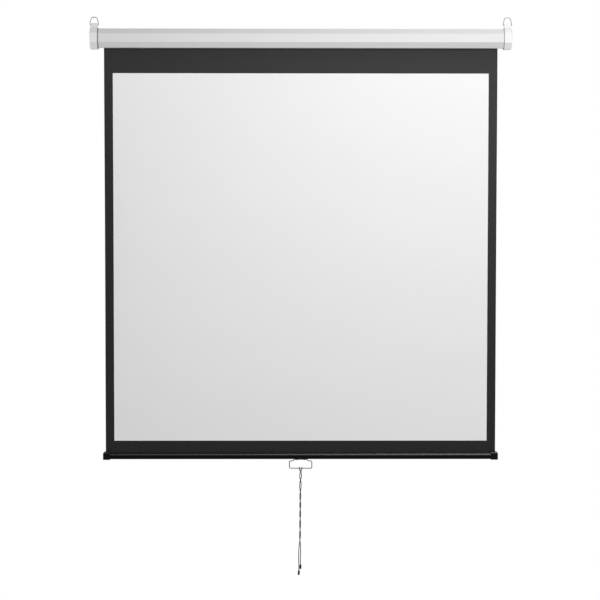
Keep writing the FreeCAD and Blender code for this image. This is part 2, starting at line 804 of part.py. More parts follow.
def make_lock():
    """Right plug with its pawls, and the lock wheel that stands still on the spindle."""
    middle = at(z=AXIS)
    plug_start = f"({ROLLER_END} - plug_depth)"
    plug = turned("right_roller_plug", [
        (plug_start, SPINDLE_BORE), (FLANGE_FACE, SPINDLE_BORE), (FLANGE_FACE, FLANGE_RADIUS),
        (ROLLER_END, FLANGE_RADIUS), (ROLLER_END, TUBE_BORE), (plug_start, TUBE_BORE)])
    pivot = size("pawl_pivot")
    along_x = Rotation(Z_AXIS, X_AXIS)
    for end in (UP, DOWN):
        hole = drill(plug, "pawl_pin_diameter / 2", "flange_width", Placement(Vector(), along_x))
        place(hole, ROLLER_END, "0", f"{end} * pawl_pivot")
    keep(place(plug, z=AXIS))

    pin_end = f"({WHEEL_FACE} + wheel_width)"
    pin = rod_along_x("pawl_pin", ROLLER_END, pin_end, "pawl_pin_diameter / 2", "0", "0")
    doc.recompute()
    pin_places = [middle + Z_AXIS * pivot * end for end in (UP, DOWN)]
    group("pawl_pins", pin, [Placement(spot, Rotation()) for spot in pin_places])

    half = size("pawl_thickness / 2")
    eye = size("pawl_pin_diameter / 2 + pin_clearance")
    rim = size("pawl_rim")
    width = size("pawl_width")
    start = Vector(size(WHEEL_MIDDLE) - width / 2, 0, pivot)
    arm = pawl_shape(half, width, 0).fuse(Part.makeCylinder(eye + rim, width, start, X_AXIS))
    pawl = arm.cut(Part.makeCylinder(eye, width, start, X_AXIS)).removeSplitter()
    for label, angle in (("upper_pawl", 0), ("lower_pawl", 180)):
        copy = shape_part(label, pawl)
        copy.Placement = Placement(middle, Rotation(X_AXIS, angle))

    wheel_face, wheel_width = at(WHEEL_FACE), size("wheel_width")
    wheel = Part.makeCylinder(size("wheel_diameter / 2"), wheel_width, wheel_face, X_AXIS)
    bore = Part.makeCylinder(size("spindle_diameter / 2"), wheel_width, wheel_face, X_AXIS)
    notch_half = half + size("notch_clearance")
    notch = pawl_shape(notch_half, size("wheel_width + 2 * cut_overrun"), size("pawl_swing"))
    opposite = notch.rotated(Vector(), X_AXIS, 180)
    lock_wheel = shape_part("lock_wheel", wheel.cut([bore, notch, opposite]))
    lock_wheel.Placement = Placement(middle, Rotation())


def make_spindle():
    """Spindle held still by its tang, with the spring's collar, the turning anchor and the clip."""
    half = "(spindle_diameter / 2)"
    shoulder = f"({BOSS_FACE} - running_gap)"
    groove = f"({half} - groove_depth)"
    groove_end = f"({CLIP_FACE} - clip_width)"
    body = turned("spring_spindle", [
        (SPINDLE_END, "0"), (shoulder, "0"), (shoulder, half), (CLIP_FACE, half), (CLIP_FACE, groove),
        (groove_end, groove), (groove_end, half), (SPINDLE_END, half)])
    tang = new_sketch(body, "YZ_Plane", shoulder)
    draw_outline(tang, tang_outline("0"))
    pad(body, tang, "tang_length")
    keep(place(body, z=AXIS))

    collar_end = f"({COLLAR_FACE} + collar_length)"
    keep(place(turned_ring("spring_collar", COLLAR_FACE, collar_end, half, COLLAR_RADIUS), z=AXIS))
    anchor_face = f"({SPRING_END} - running_gap)"
    keep(place(turned_ring("spring_anchor", ANCHOR_END, anchor_face, SPINDLE_BORE, TUBE_BORE), z=AXIS))

    ring = turned_ring("clip_ring", groove_end, CLIP_FACE, groove, "clip_diameter / 2")
    place(ring, z=AXIS)
    mouth = box("clip_gap_block", (groove_end, "-clip_mouth / 2", f"{AXIS} - clip_diameter / 2"),
                (CLIP_FACE, "clip_mouth / 2", AXIS))
    keep(cut("spindle_clip", ring, mouth))


def make_spring():
    """Torsion spring: one unbroken coil from the fixed collar towards the turning anchor."""
    radius = size("spring_diameter / 2")
    wire = size("spring_wire")
    lead = size("spring_lead")
    turns = int(size("spring_turns"))
    start = size(COLLAR_FACE)
    coil_start = start - wire - lead
    coil_end = size(SPRING_END) + wire + lead
    pitch = (coil_start - coil_end) / turns

    def on_coil(turn):
        angle = 2 * math.pi * turn
        return Vector(coil_start - pitch * turn, radius * math.cos(angle), radius * math.sin(angle))

    def heading(turn):
        angle = 2 * math.pi * turn
        around = 2 * math.pi * radius
        return Vector(-pitch, -around * math.sin(angle), around * math.cos(angle)).normalize()

    def end_point(turn, x):
        angle = 2 * math.pi * turn
        return Vector(x, radius * math.cos(angle), radius * math.sin(angle))

    down = X_AXIS * -1
    lead_turn = lead / (2 * math.pi * radius)
    stops = [(on_coil(step / 2), heading(step / 2)) for step in range(2 * turns + 1)]
    first = end_point(-lead_turn, start - wire)
    last = end_point(turns + lead_turn, size(SPRING_END) + wire)
    stops = [(first, down)] + stops + [(last, down)]
    edges = [Part.LineSegment(first - down * wire, first).toShape()]
    for (here, leaving), (there, reaching) in zip(stops, stops[1:]):
        edges.extend(biarc(here, leaving, there, reaching))
    edges.append(Part.LineSegment(last, last + down * wire).toShape())
    print(f"torsion_spring: least gap between turns {pitch - wire:.2f} mm")
    coil = shape_part("torsion_spring", tube(Part.Wire(edges), wire))
    coil.Placement = Placement(at(z=AXIS), Rotation())


# Fabric and bottom bar

def make_fabric():
    """Fabric from the roller to the bar, the black border on its face, and its hem round a rod."""
    half = "fabric_width / 2"
    cloth = box("screen_fabric", (f"-{half}", FABRIC_FRONT, FABRIC_END),
                (half, f"{FABRIC_FRONT} + fabric_thickness", AXIS))
    keep(cloth)
    field = box("mask_field", (f"-{half}", MASK_FRONT, FABRIC_END), (half, FABRIC_FRONT, AXIS))
    window = box("picture_window", (f"-{PICTURE_HALF}", f"{MASK_FRONT} - cut_overrun", PICTURE_BOTTOM),
                 (PICTURE_HALF, f"{FABRIC_FRONT} + cut_overrun", PICTURE_TOP))
    keep(cut("black_mask", field, window))

    rod_start, rod_end = f"-({half} - hem_inset)", f"({half} - hem_inset)"
    channel = f"({BAR_TOP} - channel_depth)"
    keep(rod_along_x("hem_rod", rod_start, rod_end, "hem_rod_diameter / 2", FABRIC_MIDDLE, channel))
    sleeve = rod_along_x("hem_sleeve", f"-{half}", half, HEM_RADIUS, FABRIC_MIDDLE, channel)
    tail = box("hem_tail", (f"-{half}", f"{FABRIC_MIDDLE} - fabric_thickness", channel),
               (half, f"{FABRIC_MIDDLE} + fabric_thickness", FABRIC_END))
    bore = rod_along_x("hem_bore", f"-{half} - cut_overrun", f"{half} + cut_overrun",
                       "hem_rod_diameter / 2", FABRIC_MIDDLE, channel)
    keep(cut("fabric_hem", fuse("hem_outside", sleeve, tail), bore))


def bar_outline(margin):
    """Outline of the bar's section grown by a margin, from its top middle, and its arcs."""
    side = f"(bar_depth / 2 + {margin})"
    top = f"({margin})"
    bottom = f"(-bar_height - {margin})"
    shoulder = f"(bar_shoulder + {margin})"
    foot = f"(bar_foot + {margin})"
    corners = [(f"{side} - {shoulder}", top), (f"{shoulder} - {side}", top),
               (f"-{side}", f"{top} - {shoulder}"), (f"-{side}", f"{bottom} + {foot}"),
               (f"{foot} - {side}", bottom), (f"{side} - {foot}", bottom),
               (side, f"{bottom} + {foot}"), (side, f"{top} - {shoulder}")]
    return corners, {1: (shoulder, 1), 3: (foot, 1), 5: (foot, 1), 7: (shoulder, 1)}


def hollow_outline(margin):
    """Corners of the hollow along the bar's lower half, drawn in by a margin."""
    side = f"(bar_depth / 2 - bar_wall - {margin})"
    top = f"(-{HOLLOW_TOP} - {margin})"
    bottom = f"(bar_wall - bar_height + {margin})"
    return [(f"-{side}", bottom), (side, bottom), (side, top), (f"-{side}", top)]


def make_bar():
    """Extruded bottom bar with a keyhole channel for the hem and a hollow below it."""
    corners, arcs = bar_outline("0")
    half_slot = "(bar_slot / 2)"
    radius = CHANNEL_RADIUS
    middle = "(-channel_depth)"
    throat = f"({middle} + sqrt({radius} * {radius} - {half_slot} * {half_slot}))"
    keyhole = [(f"-{half_slot}", "0"), (f"-{half_slot}", throat), (f"-{radius}", middle),
               ("0", f"{middle} - {radius}"), (radius, middle), (half_slot, throat), (half_slot, "0")]
    section = keyhole + [corners[0], corners[7], corners[6], corners[5], corners[4], corners[3], corners[2],
                         corners[1]]
    bends = {1: (radius, 1), 2: (radius, 1), 3: (radius, 1), 4: (radius, 1),
             7: arcs[7], 9: arcs[5], 11: arcs[3], 13: arcs[1]}
    bends = {side: (bend, turn if side < len(keyhole) else -turn) for side, (bend, turn) in bends.items()}
    body = new_body("bottom_bar")
    sketch = new_sketch(body, "YZ_Plane")
    draw_outline(sketch, section, bends)
    draw_outline(sketch, hollow_outline("0"))
    pad(body, sketch, f"2 * {BAR_HALF}", symmetric=True)
    for x, y in strap_screw_places():
        seat = Vector(x, y, -size("bar_height + cut_overrun"))
        drill(body, "strap_screw_shank / 2 + screw_clearance", "bar_wall + 2 * cut_overrun",
              Placement(seat, Rotation()))
    keep(place(body, y=FABRIC_MIDDLE, z=BAR_TOP))


def make_bar_cap(label, side):
    """Moulded cap over an end of the bar, with a tongue in its hollow and a slot for the fabric."""
    body = new_body(label)
    outer_face = f"{side} * {BAR_CAP_END}"
    half = "(bar_depth / 2 + bar_cap_side)"
    top = "(bar_cap_rise)"
    bottom = "(-bar_height - bar_cap_drop)"
    bend = "bar_cap_round"
    outside = [(f"{half} - {bend}", top), (f"{bend} - {half}", top),
               (f"-{half}", f"{top} - {bend}"), (f"-{half}", f"{bottom} + {bend}"),
               (f"{bend} - {half}", bottom), (f"{half} - {bend}", bottom),
               (half, f"{bottom} + {bend}"), (half, f"{top} - {bend}")]
    bends = {1: (bend, 1), 3: (bend, 1), 5: (bend, 1), 7: (bend, 1)}

    floor = new_sketch(body, "YZ_Plane", outer_face)
    draw_outline(floor, outside, bends)
    pad(body, floor, "bar_cap_floor", -side)

    skirt = new_sketch(body, "YZ_Plane", outer_face)
    draw_outline(skirt, outside, bends)
    draw_outline(skirt, *bar_outline("bar_cap_clearance"))
    pad(body, skirt, "bar_cap_length", -side)
    round_face_edges(body, "bar_cap_rounding", outer_face)

    tongue = new_sketch(body, "YZ_Plane", f"{side} * {BAR_HALF}")
    draw_outline(tongue, hollow_outline("bar_cap_clearance"))
    pad(body, tongue, "tongue_length", -side)

    slot_start = f"({BAR_CAP_END} - bar_cap_length - cut_overrun)"
    slot_end = "(fabric_width / 2 + cut_overrun)"
    near, far = (slot_start, slot_end) if side == RIGHT else (f"-{slot_end}", f"-{slot_start}")
    body_block(body, "Subtractive", (near, "-bar_cap_slot / 2", "-cut_overrun"),
               (far, "bar_cap_slot / 2", "(bar_cap_rise + cut_overrun)"))
    keep(place(body, y=FABRIC_MIDDLE, z=BAR_TOP))


# Handle

def strap_screw_places():
    """Places of the strap screws along the bar and across it."""
    offset, across = size(STRAP_MIDDLE), size("strap_screw_offset")
    return [(x, y) for x in (-offset, offset) for y in (-across, across)]


def make_straps():
    """Two saddle straps that hold the handle's raised wire under the bar, and their screws."""
    wire = "(handle_wire / 2 + handle_play)"
    inner = "(handle_wire / 2 + pin_clearance)"
    outer = f"({inner} + strap_thickness)"
    corners = [("strap_reach", "0"), (inner, "0"), (inner, f"-{wire}"), ("0", f"-{wire} - {inner}"),
               (f"-{inner}", f"-{wire}"), (f"-{inner}", "0"), ("-strap_reach", "0"),
               ("-strap_reach", "-strap_thickness"), (f"-{outer}", "-strap_thickness"),
               (f"-{outer}", f"-{wire}"), ("0", f"-{wire} - {outer}"), (outer, f"-{wire}"),
               (outer, "-strap_thickness"), ("strap_reach", "-strap_thickness")]
    body = new_body("strap_pattern")
    sketch = new_sketch(body, "YZ_Plane")
    draw_outline(sketch, corners, {2: (inner, -1), 3: (inner, -1), 9: (outer, 1), 10: (outer, 1)})
    pad(body, sketch, "strap_width", symmetric=True)
    across = size("strap_screw_offset")
    for y in (-across, across):
        seat = Vector(0, y, -size("strap_thickness + cut_overrun"))
        drill(body, "strap_screw_shank / 2 + screw_clearance", "strap_thickness + 2 * cut_overrun",
              Placement(seat, Rotation()))
    under_bar = at(y=FABRIC_MIDDLE, z=BAR_BOTTOM)
    offset = size(STRAP_MIDDLE)
    group("handle_straps", body, [Placement(under_bar + X_AXIS * x, Rotation()) for x in (-offset, offset)])

    screw = make_screw("strap_screw", "strap_screw_head", "strap_screw_rise", "strap_screw_shank",
                       "strap_screw_length")
    heads_down = Rotation(X_AXIS, Z_AXIS * -1)
    seat = under_bar - Z_AXIS * size("strap_thickness")
    seats = [seat + Vector(x, y, 0) for x, y in strap_screw_places()]
    group("strap_screws", screw, [Placement(spot, heads_down) for spot in seats])


def make_handle():
    """Pull handle of bent wire: its top side is raised in the middle and turns in the straps."""
    half_width = "handle_width / 2"
    half = [("handle_joint / 2", "0"), (RAISED_HALF, "0"),
            (f"{RAISED_HALF} + joggle_run", "-handle_joggle"), (half_width, "-handle_joggle"),
            (half_width, "-handle_drop")]
    pivot = at(y=FABRIC_MIDDLE, z=HANDLE_PIVOT)
    right = [pivot + at(x, "0", z) for x, z in half]
    left = [Vector(-point.x, point.y, point.z) for point in reversed(right)]
    bend, joggle = size("handle_bend"), size("joggle_bend")
    radii = [joggle, joggle, bend, bend]
    path = rounded_path(right + left, radii + radii[::-1])
    shape_part("pull_handle", tube(path, size("handle_wire")))


# Pull cord

def make_cord():
    """Doubled cord: a hitch on the handle's lower wire and two twisted strands with stopper knots."""
    wire = at(y=FABRIC_MIDDLE, z=LOWER_WIRE)
    diameter = size("cord_diameter")
    short_route = [wire + Vector(*point) for point in SHORT_STRAND]
    long_route = [wire + Vector(*point) for point in LONG_STRAND]

    half, radius = size("hitch_half"), size(HITCH_RADIUS)
    below = -radius - diameter
    over = [Vector(-half, radius, -radius), Vector(-half, radius, radius), Vector(-half, -radius, radius),
            Vector(-half, -radius, below)]
    over += [Vector(-point.x, point.y, point.z) for point in reversed(over)]
    rise = Z_AXIS * diameter
    turns = [short_route[0], short_route[0] + rise]
    turns += [wire + point for point in over]
    turns += [long_route[0] + rise, long_route[0]]
    radii = [radius, radius, radius, radius, CORD_ARC_SHARE * 2 * half]
    shape_part("cord_hitch", tube(rounded_path(turns, radii + radii[::-1]), diameter))

    for name, route in (("short", short_route), ("long", long_route)):
        bends = cord_radii(route)
        path = rounded_path(route, bends)
        print(f"{name} strand: {path.Length:.0f} mm, radii {', '.join(f'{bend:.0f}' for bend in bends)} mm")
        shape_part(f"cord_{name}_strand", tube(path, diameter))
        make_knot(f"{name}_cord_knot", route[-1])


def make_knot(label, top):
    """Stopper knot of a few turns drawn up on a strand's end, with its short tail."""
    waist = "(knot_waist / 2)"
    barrel = "(knot_length - knot_tail)"
    bulge = "(knot_diameter / 2 - knot_waist / 2)"
    turns = int(size("knot_turns"))
    chord = f"({barrel} / knot_turns)"
    bend = f"({chord} * {chord} / (8 * {bulge}) + {bulge} / 2)"
    cord = "(cord_diameter / 2)"
    corners = [("0", "0"), ("knot_length", "0"), ("knot_length", cord), (barrel, cord)]
    bulges = {len(corners) + turn: (bend, 1) for turn in range(turns)}
    corners += [(f"{turn} * {chord}", waist) for turn in range(turns, -1, -1)]
    body = turned(label, corners, bulges)
    body.Placement = Placement(top, Rotation(X_AXIS, Z_AXIS * -1))
    keep(body)


# Build, check and write

make_case()
make_end_cap("left_end_cap", LEFT)
make_end_cap("right_end_cap", RIGHT)
cap_screw = make_screw("cap_screw", "cap_screw_head", "cap_screw_rise", "cap_screw_shank",
                       "cap_screw_length")
group("end_cap_screws", cap_screw, rear_slants())
make_ring("left_hanger_ring", LEFT)
make_ring("right_hanger_ring", RIGHT)
make_roller()
make_lock()
make_spindle()
make_spring()
make_fabric()
make_bar()
make_bar_cap("left_bar_end_cap", LEFT)
make_bar_cap("right_bar_end_cap", RIGHT)
make_straps()
make_handle()
make_cord()
doc.recompute()

for thing in doc.Objects:
    if "Invalid" in thing.State or "Error" in thing.State:
        raise RuntimeError(f"{thing.Label} failed: {thing.State}")
for part in sub_parts:
    if part.Shape.isNull() or not part.Shape.isValid() or not part.Shape.Solids:
        raise RuntimeError(f"{part.Label} has no valid solid")

os.makedirs("parts", exist_ok=True)
for part in sub_parts:
    part.Shape.exportStep(f"parts/{part.Label}.step")
    print(f"{part.Label}: {len(part.Shape.Solids)} solids, {part.Shape.Volume:.0f} cubic millimetres")
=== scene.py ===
"""Dress of the pull-down projection screen.

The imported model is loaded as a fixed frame. Folded, wound and soft pieces get finer meshes in the same
places, every surface gets a procedural finish, and a plain studio is set round the object. Lengths are in
metres; X runs along the case to the right, Y back to the wall and Z up.
"""

import functools
import json
import logging
import math
from dataclasses import dataclass
from enum import Enum
from typing import Any, Callable, Iterable, Sequence

import bmesh
import bpy
from mathutils import Matrix, Vector

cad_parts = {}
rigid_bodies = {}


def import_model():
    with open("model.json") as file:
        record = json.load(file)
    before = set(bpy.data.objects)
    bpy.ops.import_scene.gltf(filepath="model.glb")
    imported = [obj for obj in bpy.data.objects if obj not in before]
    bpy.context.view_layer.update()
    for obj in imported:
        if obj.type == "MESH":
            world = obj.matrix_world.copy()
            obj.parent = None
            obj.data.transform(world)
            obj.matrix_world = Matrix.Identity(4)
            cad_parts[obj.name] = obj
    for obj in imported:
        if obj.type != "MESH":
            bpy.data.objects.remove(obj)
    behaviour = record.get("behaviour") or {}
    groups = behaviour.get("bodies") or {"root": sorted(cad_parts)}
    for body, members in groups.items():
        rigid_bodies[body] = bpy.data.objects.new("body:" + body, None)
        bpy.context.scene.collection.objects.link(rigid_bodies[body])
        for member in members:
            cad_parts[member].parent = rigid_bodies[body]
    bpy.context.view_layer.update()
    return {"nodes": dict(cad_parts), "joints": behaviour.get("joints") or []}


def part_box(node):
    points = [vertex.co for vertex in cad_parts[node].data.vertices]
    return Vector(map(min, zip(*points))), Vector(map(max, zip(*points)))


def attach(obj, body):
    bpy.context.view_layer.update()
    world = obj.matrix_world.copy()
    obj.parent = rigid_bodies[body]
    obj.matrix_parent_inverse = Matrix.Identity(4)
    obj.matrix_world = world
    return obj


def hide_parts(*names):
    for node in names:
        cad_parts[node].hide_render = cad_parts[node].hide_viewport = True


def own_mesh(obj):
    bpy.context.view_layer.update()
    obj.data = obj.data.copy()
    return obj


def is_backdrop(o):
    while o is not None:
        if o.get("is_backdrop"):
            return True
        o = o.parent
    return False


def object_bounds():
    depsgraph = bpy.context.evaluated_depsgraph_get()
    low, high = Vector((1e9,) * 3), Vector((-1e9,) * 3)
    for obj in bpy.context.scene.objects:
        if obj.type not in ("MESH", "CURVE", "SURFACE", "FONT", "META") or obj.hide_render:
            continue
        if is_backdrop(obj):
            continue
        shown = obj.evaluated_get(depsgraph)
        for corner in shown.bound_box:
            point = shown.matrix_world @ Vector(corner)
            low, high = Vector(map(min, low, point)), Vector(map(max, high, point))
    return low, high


LOG = logging.getLogger("projection_screen")
IMAGE_SIDE = 600.0
FULL_TURN = 2 * math.pi

# Names of the attributes that the meshes carry.
SURFACE_UV = "surface_uv"
BEND = "bend"
FACING = "facing"

# Settings that all pieces share.
MERGE_DISTANCE = 1e-6
FLAT_ANGLE = math.radians(0.6)
BEVEL_ANGLE = math.radians(32)
SHARP_ANGLE = math.radians(50)
BEVEL_SEGMENTS = 3
SHEET_BEND_STEPS = 6
WIRE_BEND_STEPS = 10
WIRE_SIDES = 20
CORD_SIDES = 14
CORD_TIP_SHARE = 0.5
SPLINE_ORDER = 3
SPLINE_STEPS = 10
COARSE_DETAIL = 2.0
FINE_DETAIL = 3.0
NOISE_MIDDLE = 0.5

Object = bpy.types.Object
Mesh = bpy.types.Mesh
Material = bpy.types.Material
Colour = tuple[float, float, float, float]
Triple = tuple[float, float, float]
Corners = Sequence[Triple]


def grey(level: float) -> Colour:
    """An opaque grey of one linear level."""
    return (level, level, level, 1.0)


def shade(colour: Colour, factor: float) -> Colour:
    """A colour made lighter or darker by a factor."""
    return (colour[0] * factor, colour[1] * factor, colour[2] * factor, 1.0)


def ease(share: float) -> float:
    """A smooth step from 0 to 1 while share goes from 0 to 1."""
    held = min(max(share, 0.0), 1.0)
    return held * held * (3 - 2 * held)


class Channel:
    """A node's output on which plain arithmetic adds Math nodes."""

    def __init__(self, tree: "NodeTree", socket: bpy.types.NodeSocket) -> None:
        """Keeps the tree that grows and the socket that is wrapped."""
        self.tree = tree
        self.socket = socket

    def __add__(self, other: "Channel | float") -> "Channel":
        """Sum of two values."""
        return self.tree.math("ADD", self, other)

    __radd__ = __add__

    def __sub__(self, other: "Channel | float") -> "Channel":
        """This value less another."""
        return self.tree.math("SUBTRACT", self, other)

    def __rsub__(self, other: float) -> "Channel":
        """A number less this value."""
        return self.tree.math("SUBTRACT", other, self)

    def __mul__(self, other: "Channel | float") -> "Channel":
        """Product of two values."""
        return self.tree.math("MULTIPLY", self, other)

    __rmul__ = __mul__


class NodeTree:
    """Adds nodes to a tree and links them."""

    def __init__(self, tree: bpy.types.NodeTree) -> None:
        """Keeps the tree that grows."""
        self.tree = tree

    def node(self, kind: str, settings: dict[str, Any] | None = None,
             inputs: dict[str | int, Any] | None = None, output: str | int = 0) -> Channel:
        """Adds one node.

        Args:
            kind: The node's type.
            settings: Properties or the names of captured values, which are set first.
            inputs: Values or channels by socket name or number.
            output: Name or number of the output that is returned.

        Returns:
            The chosen output.
        """
        made = self.tree.nodes.new(kind)
        for key, value in (settings or {}).items():
            if key == "captures":
                for name in value:
                    made.capture_items.new("FLOAT", name)
            else:
                setattr(made, key, value)
        for key, value in (inputs or {}).items():
            self.feed(made.inputs[key], value)
        return Channel(self, made.outputs[output])

    def feed(self, socket: bpy.types.NodeSocket, value: Any) -> None:
        """Links a channel to a socket, or sets the socket's own value.

        Args:
            socket: The input.
            value: A channel, or the value itself.
        """
        if isinstance(value, Channel):
            self.tree.links.new(value.socket, socket)
        else:
            socket.default_value = value

    def math(self, operation: str, *values: "Channel | float") -> Channel:
        """The result of a Math node on numbers or channels."""
        return self.node("ShaderNodeMath", {"operation": operation}, dict(enumerate(values)))

    def part_of(self, vector: Channel, axis: str) -> Channel:
        """One coordinate of a vector."""
        return self.node("ShaderNodeSeparateXYZ", None, {"Vector": vector}, axis)

    def smooth_range(self, value: Channel, limits: dict[str, float]) -> Channel:
        """A value mapped smoothly between the limits of a Map Range node."""
        return self.node("ShaderNodeMapRange", {"interpolation_type": "SMOOTHSTEP"},
                         {"Value": value, **limits})

    def also(self, channel: Channel, output: str | int) -> Channel:
        """Another output of the node that gives a channel."""
        return Channel(self, channel.socket.node.outputs[output])


class ShaderTree(NodeTree):
    """A material's nodes round one Principled shader."""

    def __init__(self, name: str) -> None:
        """Makes a material that holds only its shader and its output.

        Args:
            name: The material's name.
        """
        self.material = bpy.data.materials.new(name)
        self.material.use_nodes = True
        super().__init__(self.material.node_tree)
        self.tree.nodes.clear()
        self.shader = self.tree.nodes.new("ShaderNodeBsdfPrincipled")
        self.output = self.tree.nodes.new("ShaderNodeOutputMaterial")
        self.tree.links.new(self.shader.outputs[0], self.output.inputs["Surface"])

    def place(self) -> Channel:
        """Object coordinates in metres."""
        return self.node("ShaderNodeTexCoord", output="Object")

    def surface_uv(self) -> Channel:
        """The piece's own map: metres along and across a sheet, or turns round and metres along a tube."""
        return self.node("ShaderNodeUVMap", {"uv_map": SURFACE_UV})

    def noise(self, vector: Channel, stretch: Triple, detail: float = FINE_DETAIL) -> Channel:
        """Even noise, from 0 to 1.

        Args:
            vector: Coordinates.
            stretch: Spots for each unit along the three coordinates.
            detail: Number of finer layers.

        Returns:
            The noise.
        """
        spread = self.node("ShaderNodeMapping", None, {"Vector": vector, "Scale": stretch})
        return self.node("ShaderNodeTexNoise", None, {"Vector": spread, "Scale": 1.0, "Detail": detail})

    def toned(self, factor: Channel, colour: Colour, low: float, high: float) -> Channel:
        """A colour that goes from low to high times itself as the factor goes from 0 to 1."""
        return self.mix(factor, shade(colour, low), shade(colour, high))

    def mix(self, factor: Channel, first: Colour, second: Colour) -> Channel:
        """A colour between two others."""
        return self.node("ShaderNodeMix", {"data_type": "RGBA"}, {0: factor, 6: first, 7: second}, 2)

    def varied(self, value: float, noise: Channel, swing: float) -> Channel:
        """A value that noise moves up and down over a swing."""
        return value + (noise - NOISE_MIDDLE) * swing

    def relief(self, height: Channel, distance: float) -> Channel:
        """A normal that follows a height from 0 to 1, distance metres tall."""
        return self.node("ShaderNodeBump", None, {"Distance": distance, "Height": height})

    def finished(self, values: dict[str, Any]) -> Material:
        """Feeds the Principled shader.

        Args:
            values: Numbers, colours or channels by socket name.

        Returns:
            The material.
        """
        for key, value in values.items():
            self.feed(self.shader.inputs[key], value)
        return self.material


class GeometryTree(NodeTree):
    """A geometry node tree with named inputs, run once on an object and baked into its mesh."""

    def __init__(self, name: str, inputs: dict[str, str]) -> None:
        """Makes the tree, with a material as its last input.

        Args:
            name: The tree's name.
            inputs: Kind of value by input name, after the geometry itself.
        """
        super().__init__(bpy.data.node_groups.new(name, "GeometryNodeTree"))
        sockets = self.tree.interface
        sockets.new_socket("Geometry", in_out="INPUT", socket_type="NodeSocketGeometry")
        self.identifiers = {
            key: sockets.new_socket(key, in_out="INPUT", socket_type=f"NodeSocket{kind}").identifier
            for key, kind in {**inputs, "Material": "Material"}.items()}
        sockets.new_socket("Geometry", in_out="OUTPUT", socket_type="NodeSocketGeometry")
        self.source = self.tree.nodes.new("NodeGroupInput")

    def given(self, name: str) -> Channel:
        """One of the tree's inputs."""
        return Channel(self, self.source.outputs[name])

    def attribute(self, name: str, kind: str) -> Channel:
        """A named attribute of the geometry."""
        return self.node("GeometryNodeInputNamedAttribute", {"data_type": kind}, {"Name": name})

    def captured(self, geometry: Channel, name: str, value: Channel) -> Channel:
        """Geometry whose points keep a value, which is also one of its node's outputs.

        Args:
            geometry: The geometry.
            name: The output's name.
            value: The value at each point.

        Returns:
            The geometry.
        """
        return self.node("GeometryNodeCaptureAttribute", {"domain": "POINT", "captures": [name]},
                         {"Geometry": geometry, name: value})

    def bent_curve(self) -> Channel:
        """The line that goes in, with its corners bent and its running length captured.

        Returns:
            The curve; its node's output Length gives the running length.
        """
        line = self.node("GeometryNodeMeshToCurve", None, {"Mesh": self.given("Geometry")})
        bent = self.node("GeometryNodeFilletCurve", {"mode": "POLY"}, {
            "Curve": line, "Count": self.given("Bend Steps"), "Radius": self.attribute(BEND, "FLOAT"),
            "Limit Radius": True})
        length = self.node("GeometryNodeSplineParameter", output="Length")
        return self.captured(bent, "Length", length)

    def mapped(self, geometry: Channel, across: Channel, along: Channel) -> Channel:
        """Smooth geometry with its surface map.

        Args:
            geometry: The geometry.
            across: First coordinate of the map.
            along: Second coordinate of the map.

        Returns:
            The geometry.
        """
        uv = self.node("ShaderNodeCombineXYZ", None, {"X": across, "Y": along})
        stored = self.node("GeometryNodeStoreNamedAttribute", {"data_type": "FLOAT2", "domain": "CORNER"},
                           {"Geometry": geometry, "Name": SURFACE_UV, "Value": uv})
        return self.node("GeometryNodeSetShadeSmooth", None, {"Geometry": stored})

    def closed(self, geometry: Channel) -> "GeometryTree":
        """Realizes the geometry, gives it its material and makes it the tree's result.

        Args:
            geometry: The geometry.

        Returns:
            The tree itself.
        """
        real = self.node("GeometryNodeRealizeInstances", None, {"Geometry": geometry})
        dressed = self.node("GeometryNodeSetMaterial", None,
                            {"Geometry": real, "Material": self.given("Material")})
        output = self.tree.nodes.new("NodeGroupOutput")
        self.feed(output.inputs["Geometry"], dressed)
        return self

    def run(self, piece: Object, values: dict[str, Any]) -> None:
        """Runs the tree on a piece and keeps the result as its plain mesh.

        Args:
            piece: The object whose mesh goes in and is replaced.
            values: Input values by name.
        """
        modifier = piece.modifiers.new(self.tree.name, "NODES")
        modifier.node_group = self.tree
        for key, value in values.items():
            modifier[self.identifiers[key]] = value
        bake(piece)


def mesh_of(thing: Object) -> Mesh:
    """A new plain mesh of an object with its modifiers."""
    bpy.context.view_layer.update()
    return bpy.data.meshes.new_from_object(thing.evaluated_get(bpy.context.evaluated_depsgraph_get()))


def bake(piece: Object) -> None:
    """Turns a piece's modifiers into plain mesh.

    Args:
        piece: The piece.
    """
    mesh = mesh_of(piece)
    piece.modifiers.clear()
    piece.data = mesh
    mesh.name = piece.name


@dataclass(frozen=True)
class PowderCoat:
    """Baked coat on sheet metal: a faint orange peel and slow changes of tone."""

    name: str
    colour: Colour
    roughness: float
    gloss: float = 0.5
    peel: float = 0.00004
    peel_spots: Triple = (650.0, 650.0, 650.0)
    tone_spots: Triple = (5.0, 14.0, 14.0)
    tones: tuple[float, float] = (0.97, 1.03)
    least_rough: float = 0.85
    rough_swing: float = 0.3

    def material(self) -> Material:
        """Builds the coat.

        Returns:
            The material.
        """
        tree = ShaderTree(self.name)
        place = tree.place()
        tone = tree.noise(place, self.tone_spots)
        peel = tree.noise(place, self.peel_spots, COARSE_DETAIL)
        return tree.finished({
            "Base Color": tree.toned(tone, self.colour, *self.tones),
            "Roughness": self.roughness * (self.least_rough + tone * self.rough_swing),
            "Specular IOR Level": self.gloss,
            "Normal": tree.relief(peel, self.peel)})


